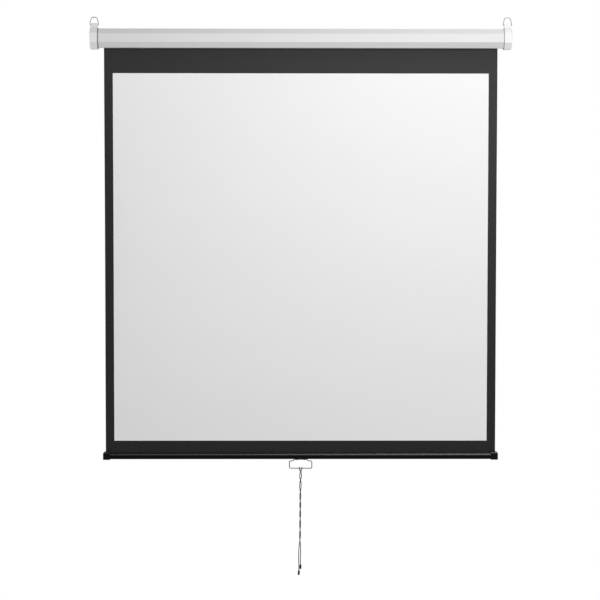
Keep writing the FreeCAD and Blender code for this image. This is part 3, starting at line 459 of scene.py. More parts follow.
@dataclass(frozen=True)
class Moulding:
    """Moulded plastic with a fine spark-eroded grain."""

    name: str
    colour: Colour
    roughness: float
    gloss: float = 0.5
    grain: float = 0.00003
    grain_spots: Triple = (2200.0, 2200.0, 2200.0)
    flow_spots: Triple = (60.0, 25.0, 25.0)
    tones: tuple[float, float] = (0.95, 1.05)
    rough_swing: float = 0.2

    def material(self) -> Material:
        """Builds the plastic.

        Returns:
            The material.
        """
        tree = ShaderTree(self.name)
        place = tree.place()
        flow = tree.noise(place, self.flow_spots)
        grain = tree.noise(place, self.grain_spots)
        return tree.finished({
            "Base Color": tree.toned(flow, self.colour, *self.tones),
            "Roughness": tree.varied(self.roughness, grain, self.rough_swing),
            "Specular IOR Level": self.gloss,
            "Normal": tree.relief(grain, self.grain)})


@dataclass(frozen=True)
class DrawnWire:
    """Plated wire with draw marks along it."""

    name: str
    colour: Colour
    roughness: float
    mark: float = 0.00002
    mark_spots: Triple = (26.0, 40.0, 1.0)
    mark_detail: float = 4.0
    bloom_spots: Triple = (160.0, 160.0, 160.0)
    tones: tuple[float, float] = (0.8, 1.15)
    rough_swing: float = 0.25

    def material(self) -> Material:
        """Builds the wire's plating.

        Returns:
            The material.
        """
        tree = ShaderTree(self.name)
        marks = tree.noise(tree.surface_uv(), self.mark_spots, self.mark_detail)
        bloom = tree.noise(tree.place(), self.bloom_spots)
        return tree.finished({
            "Base Color": tree.toned(bloom, self.colour, *self.tones),
            "Metallic": 1.0,
            "Roughness": tree.varied(self.roughness, marks, self.rough_swing),
            "Normal": tree.relief(marks, self.mark)})


@dataclass(frozen=True)
class CoatedCloth:
    """Woven glass cloth under a matte coat; the threads show as a fine relief."""

    name: str
    colour: Colour
    roughness: float
    gloss: float
    thread: float = 0.0008
    weave: float = 0.00002
    weave_share: float = 0.5
    coat_spots: Triple = (1500.0, 1500.0, 1.0)
    cloud_spots: Triple = (1.2, 5.0, 1.0)
    tones: tuple[float, float] = (0.985, 1.015)
    rough_swing: float = 0.1

    def material(self) -> Material:
        """Builds the cloth.

        Returns:
            The material.
        """
        tree = ShaderTree(self.name)
        flat = tree.surface_uv()
        turns = FULL_TURN / self.thread
        warp = tree.math("SINE", tree.part_of(flat, "X") * turns)
        weft = tree.math("SINE", tree.part_of(flat, "Y") * turns)
        coat = tree.noise(flat, self.coat_spots, COARSE_DETAIL)
        cloud = tree.noise(flat, self.cloud_spots, COARSE_DETAIL)
        return tree.finished({
            "Base Color": tree.toned(cloud, self.colour, *self.tones),
            "Roughness": tree.varied(self.roughness, coat, self.rough_swing),
            "Specular IOR Level": self.gloss,
            "Normal": tree.relief(warp * weft * self.weave_share + coat, self.weave)})


@dataclass(frozen=True)
class TurnedMetal:
    """Metal turned or drawn about X, with fine rings round it."""

    name: str
    colour: Colour
    roughness: float
    groove: float = 0.00001
    groove_spots: Triple = (3500.0, 40.0, 40.0)
    film_spots: Triple = (90.0, 90.0, 90.0)
    tones: tuple[float, float] = (0.85, 1.1)
    rough_swing: float = 0.2

    def material(self) -> Material:
        """Builds the metal.

        Returns:
            The material.
        """
        tree = ShaderTree(self.name)
        place = tree.place()
        grooves = tree.noise(place, self.groove_spots)
        film = tree.noise(place, self.film_spots)
        return tree.finished({
            "Base Color": tree.toned(film, self.colour, *self.tones),
            "Metallic": 1.0,
            "Roughness": tree.varied(self.roughness, grooves, self.rough_swing),
            "Normal": tree.relief(grooves, self.groove)})


@dataclass(frozen=True)
class Braid:
    """Braided cord: two families of plaits that cross round the tube."""

    name: str
    colour: Colour
    roughness: float
    plait: float = 0.0055
    pairs: int = 4
    relief: float = 0.00025
    gloss: float = 0.3
    crown_middle: float = 0.5
    crown_swing: float = 0.4
    fibre_spots: Triple = (60.0, 4000.0, 1.0)
    fibre_share: float = 0.15
    # From painted shade in the valleys between the plaits to painted highlight on their crowns.
    tones: tuple[float, float] = (0.3, 1.8)
    rough_swing: float = 0.2

    def material(self) -> Material:
        """Builds the braid.

        Returns:
            The material.
        """
        tree = ShaderTree(self.name)
        uv = tree.surface_uv()
        around = tree.part_of(uv, "X") * (FULL_TURN * self.pairs)
        along = tree.part_of(uv, "Y") * (FULL_TURN / self.plait)
        plaits = tree.math("MAXIMUM", tree.math("SINE", around + along), tree.math("SINE", around - along))
        fibre = tree.noise(uv, self.fibre_spots, COARSE_DETAIL)
        crown = plaits * self.crown_swing + self.crown_middle
        # The colour follows the plaits: painted shade in their valleys and painted highlight on their crowns.
        # The same crowns give the relief.
        return tree.finished({
            "Base Color": tree.toned(crown, self.colour, *self.tones),
            "Roughness": tree.varied(self.roughness, fibre, self.rough_swing),
            "Specular IOR Level": self.gloss,
            "Normal": tree.relief(crown + fibre * self.fibre_share, self.relief)})


class Finish(Enum):
    """The finishes of the object's surfaces."""

    WHITE_COAT = PowderCoat("white_case_coat", (0.70, 0.70, 0.695, 1.0), 0.42)
    WHITE_MOULDING = Moulding("white_cap_moulding", grey(0.80), 0.5)
    BLACK_COAT = PowderCoat("black_bar_coat", grey(0.0014), 0.28, 0.8, 0.000002)
    BLACK_MOULDING = Moulding("black_cap_moulding", grey(0.0014), 0.32, 1.0, 0.000004)
    STRAP_PLATE = PowderCoat("black_strap_plate", grey(0.01), 0.4, 0.3, 0.00002)
    STEEL_WIRE = DrawnWire("plated_steel_wire", (0.36, 0.36, 0.364, 1.0), 0.2)
    ZINC = TurnedMetal("zinc_screw_plate", (0.62, 0.62, 0.60, 1.0), 0.32)
    STEEL = TurnedMetal("turned_steel", (0.52, 0.52, 0.53, 1.0), 0.28)
    SPRING = TurnedMetal("oiled_spring_wire", (0.30, 0.30, 0.32, 1.0), 0.35)
    ROLLER = TurnedMetal("drawn_roller_tube", (0.68, 0.68, 0.70, 1.0), 0.34)
    # Dark grey strip round the case in each cap's mouth: painted shade for the gap between cap and case.
    SEAL = Moulding("grey_foam_seal", grey(0.16), 0.8, 0.2, 0.00008)
    NYLON = Moulding("natural_nylon", (0.72, 0.70, 0.63, 1.0), 0.45)
    WHITE_CLOTH = CoatedCloth("matte_white_screen", (0.86, 0.86, 0.865, 1.0), 0.92, 0.2)
    BLACK_BORDER = CoatedCloth("black_border_coat", (0.022, 0.022, 0.0225, 1.0), 0.5, 0.3)
    BLACK_BACK = CoatedCloth("black_back_coat", (0.030, 0.030, 0.032, 1.0), 0.8, 0.15)
    CORD = Braid("black_braided_cord", (0.008, 0.008, 0.0085, 1.0), 0.75)


class Side(Enum):
    """The object's two ends."""

    LEFT = "left"
    RIGHT = "right"


class Strand(Enum):
    """The two halves of the doubled cord."""

    SHORT = "short"
    LONG = "long"


@functools.lru_cache(maxsize=None)
def material_of(finish: Finish) -> Material:
    """The one material of a finish."""
    return finish.value.material()


def new_piece(name: str, mesh: Mesh, *finishes: Finish) -> Object:
    """Links a mesh to the scene as a piece.

    Args:
        name: The piece's name.
        mesh: Its mesh, placed in the frame.
        finishes: Finishes in the order of its faces' material numbers.

    Returns:
        The new object.
    """
    piece = bpy.data.objects.new(name, mesh)
    bpy.context.scene.collection.objects.link(piece)
    for finish in finishes:
        mesh.materials.append(material_of(finish))
    return piece


def shaped_mesh(name: str, shape: bmesh.types.BMesh) -> Mesh:
    """The mesh of a finished shape, which is freed.

    Args:
        name: The mesh's name.
        shape: The shape.

    Returns:
        The mesh.
    """
    mesh = bpy.data.meshes.new(name)
    shape.to_mesh(mesh)
    shape.free()
    return mesh


def settle(piece: Object, body: str, slot: str, *nodes: str) -> Object:
    """Hands a finished piece to the frame.

    Args:
        piece: The piece, in place.
        body: The body that it rides on.
        slot: Not used; the record's material slot that its finish belongs to.
        nodes: The nodes that it stands for.

    Returns:
        The same piece.
    """
    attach(piece, body)
    if nodes:
        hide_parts(*nodes)
    LOG.info("%s rides on %s, %d faces", piece.name, body, len(piece.data.polygons))
    return piece


def folded_line(name: str, points: Sequence[Vector], bends: Sequence[float], closed: bool = False) -> Object:
    """A chain of edges whose points carry the radius of their bends.

    Args:
        name: The piece's name.
        points: Corners in order.
        bends: Bend radius at each corner.
        closed: Whether the last corner joins the first.

    Returns:
        The object, without a material.
    """
    mesh = bpy.data.meshes.new(name)
    edges = [(number, number + 1) for number in range(len(points) - 1)]
    if closed:
        edges.append((len(points) - 1, 0))
    mesh.from_pydata([tuple(point) for point in points], edges, [])
    mesh.attributes.new(BEND, "FLOAT", "POINT").data.foreach_set("value", list(bends))
    return new_piece(name, mesh)


@functools.lru_cache(maxsize=None)
def sheet_tree() -> GeometryTree:
    """Geometry nodes that bend a line's corners and pull it along X into a folded sheet.

    Returns:
        The tree.
    """
    tree = GeometryTree("folded_sheet", {"Run": "Float", "Bend Steps": "Int"})
    curve = tree.bent_curve()
    edges = tree.node("GeometryNodeCurveToMesh", None, {"Curve": curve})
    pull = tree.node("ShaderNodeCombineXYZ", None, {"X": tree.given("Run")})
    pulled = tree.node("GeometryNodeExtrudeMesh", {"mode": "EDGES"},
                       {"Mesh": edges, "Offset": pull, "Offset Scale": 1.0})
    across = tree.part_of(tree.node("GeometryNodeInputPosition"), "X")
    return tree.closed(tree.mapped(pulled, across, tree.also(curve, "Length")))


@functools.lru_cache(maxsize=None)
def wire_tree() -> GeometryTree:
    """Geometry nodes that bend a line's corners and run a round wire along it.

    Returns:
        The tree.
    """
    tree = GeometryTree("bent_wire", {"Wire Radius": "Float", "Sides": "Int", "Bend Steps": "Int"})
    curve = tree.bent_curve()
    circle = tree.node("GeometryNodeCurvePrimitiveCircle", {"mode": "RADIUS"}, {
        "Resolution": tree.given("Sides"), "Radius": tree.given("Wire Radius")})
    ring = tree.captured(circle, "Turn", tree.node("GeometryNodeSplineParameter", output="Factor"))
    wire = tree.node("GeometryNodeCurveToMesh", None,
                     {"Curve": curve, "Profile Curve": ring, "Fill Caps": True})
    return tree.closed(tree.mapped(wire, tree.also(ring, "Turn"), tree.also(curve, "Length")))


@functools.lru_cache(maxsize=None)
def screw_tree() -> GeometryTree:
    """Geometry nodes that set one screw on each point, turned in its seat by a chance angle.

    Returns:
        The tree.
    """
    tree = GeometryTree("screw_set", {"Screw": "Object", "Seed": "Int"})
    screw = tree.node("GeometryNodeObjectInfo", None, {"Object": tree.given("Screw")}, "Geometry")
    facing = tree.node("FunctionNodeAlignRotationToVector", {"axis": "Z"},
                       {"Vector": tree.attribute(FACING, "FLOAT_VECTOR")})
    chance = tree.node("FunctionNodeRandomValue", {"data_type": "FLOAT"},
                       {2: 0.0, 3: FULL_TURN, "Seed": tree.given("Seed")}, 1)
    own_turn = tree.node("FunctionNodeAxisAngleToRotation", None, {"Axis": (0, 0, 1), "Angle": chance})
    turned = tree.node("FunctionNodeRotateRotation", {"rotation_space": "LOCAL"},
                       {"Rotation": facing, "Rotate By": own_turn})
    return tree.closed(tree.node("GeometryNodeInstanceOnPoints", None, {
        "Points": tree.given("Geometry"), "Instance": screw, "Rotation": turned}))


def weigh_normals(piece: Object) -> None:
    """Bakes a piece with normals that keep its broad faces flat.

    Args:
        piece: The piece, whose earlier normals are dropped.
    """
    bake(piece)
    earlier = piece.data.attributes.get("custom_normal")
    if earlier:
        piece.data.attributes.remove(earlier)
    piece.data.shade_smooth()
    piece.data.set_sharp_from_angle(angle=SHARP_ANGLE)
    weighted = piece.modifiers.new("broad_faces", "WEIGHTED_NORMAL")
    weighted.keep_sharp = True
    bake(piece)


def folded_sheet(name: str, section: Corners, run: tuple[float, float], wall: float, finish: Finish,
                 steps: int = SHEET_BEND_STEPS, closed: bool = False) -> Object:
    """A sheet folded along X, with its thickness on the inner side.

    Args:
        name: The piece's name.
        section: Corners of its outer face as back, up and bend radius, with the outside on the left.
        run: Places of its left and right ends.
        wall: Thickness.
        finish: Its finish.
        steps: Points in each bend.
        closed: Whether the section goes all the way round.

    Returns:
        The piece.
    """
    start, end = run
    points = [Vector((start, back, up)) for back, up, _ in section]
    piece = folded_line(name, points, [bend for _, _, bend in section], closed)
    sheet_tree().run(piece, {"Run": end - start, "Bend Steps": steps, "Material": material_of(finish)})
    outward = Vector((1, 0, 0)).cross(points[1] - points[0])
    if piece.data.polygons[0].normal.dot(outward) < 0:
        piece.data.flip_normals()
    thick = piece.modifiers.new("wall", "SOLIDIFY")
    thick.thickness = wall
    thick.offset = -1.0
    weigh_normals(piece)
    return piece


def mirrored_wire(name: str, centre: Triple, half: Corners, radius: float, finish: Finish) -> Object:
    """A round bent wire that is the same on both sides of its centre.

    Args:
        name: The piece's name.
        centre: The place that its corners are given from.
        half: Corners of the right half as out, up and bend radius.
        radius: The wire's radius.
        finish: Its finish.

    Returns:
        The piece.
    """
    middle, back, height = centre
    right = [(Vector((middle + out, back, height + up)), bend) for out, up, bend in half]
    left = [(Vector((2 * middle - point.x, back, point.z)), bend) for point, bend in reversed(right)]
    corners = right + left
    piece = folded_line(name, [point for point, _ in corners], [bend for _, bend in corners])
    wire_tree().run(piece, {"Wire Radius": radius, "Sides": WIRE_SIDES, "Bend Steps": WIRE_BEND_STEPS,
                            "Material": material_of(finish)})
    return piece


def softened(node: Object, name: str, edge: float, finish: Finish,
             share: Callable[[Vector], float] | None = None) -> Object:
    """A copy of a rigid node with small rounded edges.

    Args:
        node: The node's object.
        name: The copy's name.
        edge: Width of the rounding.
        finish: Its finish.
        share: Share of the width that an edge gets by the place of its middle; without it all get the whole.

    Returns:
        The piece.
    """
    shape = bmesh.new()
    shape.from_mesh(node.data)
    bmesh.ops.remove_doubles(shape, verts=shape.verts, dist=MERGE_DISTANCE)
    bmesh.ops.dissolve_limit(shape, angle_limit=FLAT_ANGLE, verts=shape.verts, edges=shape.edges)
    shape.verts.index_update()
    mesh = bpy.data.meshes.new(name)
    faces = [[vertex.index for vertex in face.verts] for face in shape.faces]
    mesh.from_pydata([tuple(vertex.co) for vertex in shape.verts], [], faces)
    turns = {frozenset(vertex.index for vertex in line.verts): line.calc_face_angle(0.0)
             for line in shape.edges}
    shape.free()
    weights = []
    for line in mesh.edges:
        first, second = (mesh.vertices[number].co for number in line.vertices)
        sharp = turns.get(frozenset(line.vertices), 0.0) > BEVEL_ANGLE
        part = share((first + second) / 2) if share else 1.0
        weights.append(part if sharp else 0.0)
    mesh.attributes.new("bevel_weight_edge", "FLOAT", "EDGE").data.foreach_set("value", weights)
    piece = new_piece(name, mesh, finish)
    bevel = piece.modifiers.new("edges", "BEVEL")
    bevel.width = edge
    bevel.segments = BEVEL_SEGMENTS
    bevel.limit_method = "WEIGHT"
    weigh_normals(piece)
    return piece


def revolved(name: str, outline: Sequence[tuple[float, float]], sides: int) -> Mesh:
    """A closed mesh turned about Z from an outline of radius and height, from one pole to the other.

    Args:
        name: The mesh's name.
        outline: Points between the two poles, which lie on the axis at the first and last heights.
        sides: Faces round the axis.

    Returns:
        The mesh.
    """
    rings = outline[1:-1]
    points = [(0.0, 0.0, outline[0][1])]
    for radius, height in rings:
        for side in range(sides):
            angle = FULL_TURN * side / sides
            points.append((radius * math.cos(angle), radius * math.sin(angle), height))
    points.append((0.0, 0.0, outline[-1][1]))
    last = len(points) - 1
    faces = []
    for side in range(sides):
        beside = (side + 1) % sides
        faces.append((0, 1 + beside, 1 + side))
        for ring in range(len(rings) - 1):
            low = 1 + ring * sides
            high = low + sides
            faces.append((low + side, low + beside, high + beside, high + side))
        top = 1 + (len(rings) - 1) * sides
        faces.append((last, top + side, top + beside))
    mesh = bpy.data.meshes.new(name)
    mesh.from_pydata(points, [], faces)
    return mesh


@dataclass(frozen=True)
class PanScrew:
    """A pan-head screw with a cross recess; its head stands on the plane through its origin."""

    head: float
    rise: float
    shank: float
    length: float
    tip_share: float = 0.4
    foot_share: float = 0.96
    brim_share: float = 0.12
    crown_share: float = 0.35
    dome_steps: int = 5
    recess_share: float = 0.62
    blade_share: float = 0.18
    blade_lift: float = 0.85
    sides: int = 28
    sharp_degrees: float = 35.0

    def pattern(self, name: str) -> Object:
        """Builds the screw that is set on the points; it isn't a piece itself.

        Args:
            name: The screw's name.

        Returns:
            The screw.
        """
        half = self.head / 2
        core = self.shank / 2
        outline = [(0.0, -self.length), (core * self.tip_share, -self.length), (core, -self.length + core),
                   (core, 0.0), (half * self.foot_share, 0.0), (half, self.rise * self.brim_share)]
        for step in range(1, self.dome_steps + 1):
            angle = math.radians(90 / self.dome_steps * step)
            dome = self.rise * (self.brim_share + (1 - self.brim_share) * math.sin(angle))
            outline.append((half * (self.crown_share + (1 - self.crown_share) * math.cos(angle)), dome))
        outline.append((0.0, self.rise))
        screw = new_piece(name, revolved(name, outline, self.sides))
        for turn in (0.0, math.pi / 2):
            self.cut_blade(screw, turn)
        screw.data.shade_smooth()
        screw.data.set_sharp_from_angle(angle=math.radians(self.sharp_degrees))
        return screw

    def cut_blade(self, screw: Object, turn: float) -> None:
        """Cuts one slot of the cross out of the head.

        Args:
            screw: The screw.
            turn: The slot's angle about the screw's axis.
        """
        shape = bmesh.new()
        size = Matrix.Diagonal((self.head * self.recess_share, self.head * self.blade_share, self.rise, 1.0))
        lift = Matrix.Translation((0, 0, self.rise * self.blade_lift))
        bmesh.ops.create_cube(shape, size=1.0, matrix=Matrix.Rotation(turn, 4, "Z") @ lift @ size)
        blade = new_piece("recess_blade", shaped_mesh("recess_blade", shape))
        cut = screw.modifiers.new("recess", "BOOLEAN")
        cut.operation = "DIFFERENCE"
        cut.object = blade
        bake(screw)
        bpy.data.objects.remove(blade)


def screw_set(name: str, screw: PanScrew, seats: Sequence[tuple[Vector, Vector]], finish: Finish,
              seed: int) -> Object:
    """Screws set on their seats as one piece.

    Args:
        name: The piece's name.
        screw: The screw that repeats.
        seats: Place and facing of each screw.
        finish: Their finish.
        seed: Fixes the chance angles of the recesses.

    Returns:
        The piece.
    """
    mesh = bpy.data.meshes.new(name)
    mesh.from_pydata([tuple(place) for place, _ in seats], [], [])
    flat = [number for _, facing in seats for number in facing]
    mesh.attributes.new(FACING, "FLOAT_VECTOR", "POINT").data.foreach_set("vector", flat)
    piece = new_piece(name, mesh)
    pattern = screw.pattern(f"{name}_pattern")
    screw_tree().run(piece, {"Screw": pattern, "Seed": seed, "Material": material_of(finish)})
    bpy.data.objects.remove(pattern)
    return piece


def spline_points(route: Sequence[Vector], steps: int = SPLINE_STEPS) -> list[Vector]:
    """Points read along a smooth spline that has a route's points as its control points.

    Args:
        route: Control points.
        steps: Points for each stretch.

    Returns:
        Points in order along the spline.
    """
    curve = bpy.data.curves.new("route", "CURVE")
    curve.dimensions = "3D"
    spline = curve.splines.new("NURBS")
    spline.points.add(len(route) - 1)
    for control, point in zip(spline.points, route):
        control.co = (*point, 1.0)
    spline.order_u = SPLINE_ORDER
    spline.use_endpoint_u = True
    spline.resolution_u = steps
    holder = bpy.data.objects.new("route", curve)
    bpy.context.scene.collection.objects.link(holder)
    line = mesh_of(holder)
    points = [vertex.co.copy() for vertex in line.vertices]
    bpy.data.objects.remove(holder)
    bpy.data.curves.remove(curve)
    bpy.data.meshes.remove(line)
    return points


def cord_frames(points: Sequence[Vector]) -> list[tuple[Vector, Vector, float]]:
    """Directions across a cord that turn with it and don't twist round it.

    Args:
        points: Points of its middle line.

    Returns:
        For each point two directions across the cord and the length run so far.
    """
    frames = []
    run = 0.0
    heading = (points[1] - points[0]).normalized()
    side = heading.orthogonal().normalized()
    for number, point in enumerate(points):
        before = points[max(number - 1, 0)]
        after = points[min(number + 1, len(points) - 1)]
        new_heading = (after - before).normalized()
        side.rotate(heading.rotation_difference(new_heading))
        heading = new_heading
        run += (point - before).length
        frames.append((side.copy(), heading.cross(side), run))
    return frames


def cord_tube(name: str, points: Sequence[Vector], radius: float, finish: Finish,
              sides: int = CORD_SIDES) -> Object:
    """A round cord along points, with rounded ends and a map that runs round and along it.

    Args:
        name: The piece's name.
        points: Points of its middle line, close together.
        radius: The cord's radius.
        finish: Its finish.
        sides: Faces round it.

    Returns:
        The piece.
    """
    shape = bmesh.new()
    uv = shape.loops.layers.uv.new(SURFACE_UV)
    angles = [FULL_TURN * step / sides for step in range(sides)]
    rings: list[list[bmesh.types.BMVert]] = []
    lengths: list[float] = []
    for point, (side, other, run) in zip(points, cord_frames(points)):
        rings.append([shape.verts.new(point + (side * math.cos(angle) + other * math.sin(angle)) * radius)
                      for angle in angles])
        lengths.append(run)
    for row, (low, high) in enumerate(zip(rings, rings[1:])):
        for step in range(sides):
            beside = (step + 1) % sides
            face = shape.faces.new((low[step], low[beside], high[beside], high[step]))
            marks = ((step, row), (step + 1, row), (step + 1, row + 1), (step, row + 1))
            for loop, (turn, mark) in zip(face.loops, marks):
                loop[uv].uv = (turn / sides, lengths[mark])
    for ring, point, outward in ((rings[0], points[0], points[0] - points[1]),
                                 (rings[-1], points[-1], points[-1] - points[-2])):
        tip = shape.verts.new(point + outward.normalized() * radius * CORD_TIP_SHARE)
        for step in range(sides):
            corners = (tip, ring[step], ring[(step + 1) % sides])
            shape.faces.new(corners if ring is rings[-1] else corners[::-1])
    bmesh.ops.recalc_face_normals(shape, faces=shape.faces)
    mesh = shaped_mesh(name, shape)
    mesh.shade_smooth()
    return new_piece(name, mesh, finish)


@dataclass
class Housing:
    """The folded case, its end caps with their screws, and the hanger rings."""

    nodes: dict[str, Object]
    flat: float = 0.032
    wall: float = 0.001
    bend: float = 0.0022
    lip: float = 0.004
    slot: float = 0.007
    cap_edge: float = 0.0022
    cap_length: float = 0.028
    inner_edge_share: float = 0.25
    rim_stand: float = 0.004
    near: float = 0.0002
    # Dark grey strips round the case in the caps' mouths are painted shade for the gap between cap and case;
    # the left one stands out further, where that shade is darker.
    shade_strip_wall: float = 0.0006
    shade_strip_depth: float = 0.006
    shade_strip_stands: tuple[float, float] = (0.0034, 0.0008)
    shade_strip_steps: int = 3
    screw_inset: float = 0.0065
    screw_seed: int = 3
    screw: PanScrew = PanScrew(0.007, 0.0024, 0.0035, 0.007)
    ring_wire: float = 0.003
    ring_half: Corners = (
        (0.0070, -0.0290, 0.0), (0.0144, -0.0290, 0.0030), (0.0162, -0.0220, 0.0030),
        (0.0102, 0.0015, 0.0088))

    def build(self) -> None:
        """Builds all pieces of the housing and the rings."""
        self.build_case()
        for side in Side:
            self.build_cap(side)
        self.build_shade_strips()
        self.build_screws()
        for side in Side:
            self.build_ring(side)

    @property
    def axis_height(self) -> float:
        """Height of the case's middle."""
        low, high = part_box("case_shell")
        return (low.z + high.z) / 2

    def build_case(self) -> None:
        """The case as one folded sheet, from the lip at its slot right round to the slot's rear edge."""
        low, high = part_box("case_shell")
        middle = self.axis_height
        cloth_low, cloth_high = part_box("screen_fabric")
        slot_front = (cloth_low.y + cloth_high.y - self.slot) / 2
        slot_rear = slot_front + self.slot
        half = self.flat / 2
        section = [
            (slot_front, low.z + self.lip, 0.0), (slot_front, low.z, self.wall),
            (-half, low.z, self.bend), (low.y, middle - half, self.bend),
            (low.y, middle + half, self.bend), (-half, high.z, self.bend),
            (half, high.z, self.bend), (high.y, middle + half, self.bend),
            (high.y, middle - half, self.bend), (slot_rear, low.z + slot_rear - half, 0.0)]
        case = folded_sheet("case_sheet", section, (low.x, high.x), self.wall, Finish.WHITE_COAT)
        settle(case, "housing", "white_case", "case_shell")

    def build_cap(self, side: Side) -> None:
        """One moulded end cap.

        Args:
            side: The cap's end.
        """
        node = f"{side.value}_end_cap"
        low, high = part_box(node)
        share = functools.partial(self.edge_share, max(abs(low.x), abs(high.x)))
        cap = softened(self.nodes[node], f"{side.value}_case_cap", self.cap_edge, Finish.WHITE_MOULDING,
                       share)
        settle(cap, "housing", "white_plastic", node)

    def edge_share(self, outer: float, place: Vector) -> float:
        """Share of the rounding that a cap's edge gets.

        Args:
            outer: Distance of the cap's outer face from the middle.
            place: The middle of the edge.

        Returns:
            The whole on the cap's outer face and on its mouth's outer rim, less elsewhere.
        """
        mouth = outer - self.cap_length
        on_face = abs(abs(place.x) - outer) < self.near
        on_rim = abs(abs(place.x) - mouth) < self.near and self.outside_case(place) > self.rim_stand
        return 1.0 if on_face or on_rim else self.inner_edge_share

    def outside_case(self, place: Vector) -> float:
        """How far a place stands outside the case's sides.

        Args:
            place: The place.

        Returns:
            Distance from the nearest side, below 0 inside the case.
        """
        _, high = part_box("case_shell")
        back = abs(place.y)
        up = abs(place.z - self.axis_height)
        slant = (back + up - high.y - self.flat / 2) / math.sqrt(2)
        return max(back - high.y, up - high.y, slant)

    def octagon(self, grow: float) -> list[tuple[float, float]]:
        """Corners of the case's outline, in order round it.

        Args:
            grow: How far each side stands outside the case.

        Returns:
            Back and up of each corner.
        """
        _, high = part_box("case_shell")
        across = high.y + grow
        half = self.flat / 2 + grow * math.tan(math.pi / 8)
        corners = [(half, -across), (across, -half), (across, half), (half, across)]
        corners += [(-back, -up) for back, up in corners]
        return [(back, self.axis_height + up) for back, up in corners]

    def build_shade_strips(self) -> None:
        """A dark grey strip round the case in the mouth of each cap: painted shade for the gap between cap
        and case.
        """
        _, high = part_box("right_end_cap")
        mouth = high.x - self.cap_length
        left_stand, right_stand = self.shade_strip_stands
        section = [(back, up, self.bend) for back, up in self.octagon(self.shade_strip_wall)]
        runs = {Side.LEFT: (-mouth - self.shade_strip_depth, left_stand - mouth),
                Side.RIGHT: (mouth - right_stand, mouth + self.shade_strip_depth)}
        for side, run in runs.items():
            shade_strip = folded_sheet(f"{side.value}_cap_seal", section, run, self.shade_strip_wall, Finish.SEAL,
                                self.shade_strip_steps, True)
            settle(shade_strip, "housing", "white_plastic")

    def build_screws(self) -> None:
        """The screws through the case's rear slants into the caps."""
        _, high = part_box("case_shell")
        cap_low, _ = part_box("left_end_cap")
        middle = self.axis_height
        reach = (high.y + self.flat / 2) / 2
        place = cap_low.x + self.cap_length + self.screw_inset
        seats = [(Vector((x, reach, middle + lift * reach)), Vector((0, 1, lift)).normalized())
                 for x in (place, -place) for lift in (1, -1)]
        screws = screw_set("case_cap_screws", self.screw, seats, Finish.ZINC, self.screw_seed)
        settle(screws, "housing", "zinc_screws", "end_cap_screws")

    def build_ring(self, side: Side) -> None:
        """One hanger ring of bent wire.

        Args:
            side: The ring's end.
        """
        node = f"{side.value}_hanger_ring"
        low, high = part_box(node)
        ring = mirrored_wire(f"{side.value}_ring_wire", ((low.x + high.x) / 2, 0.0, 0.0), self.ring_half,
                             self.ring_wire / 2, Finish.STEEL_WIRE)
        settle(ring, f"{side.value}_ring", "steel_wire", node)


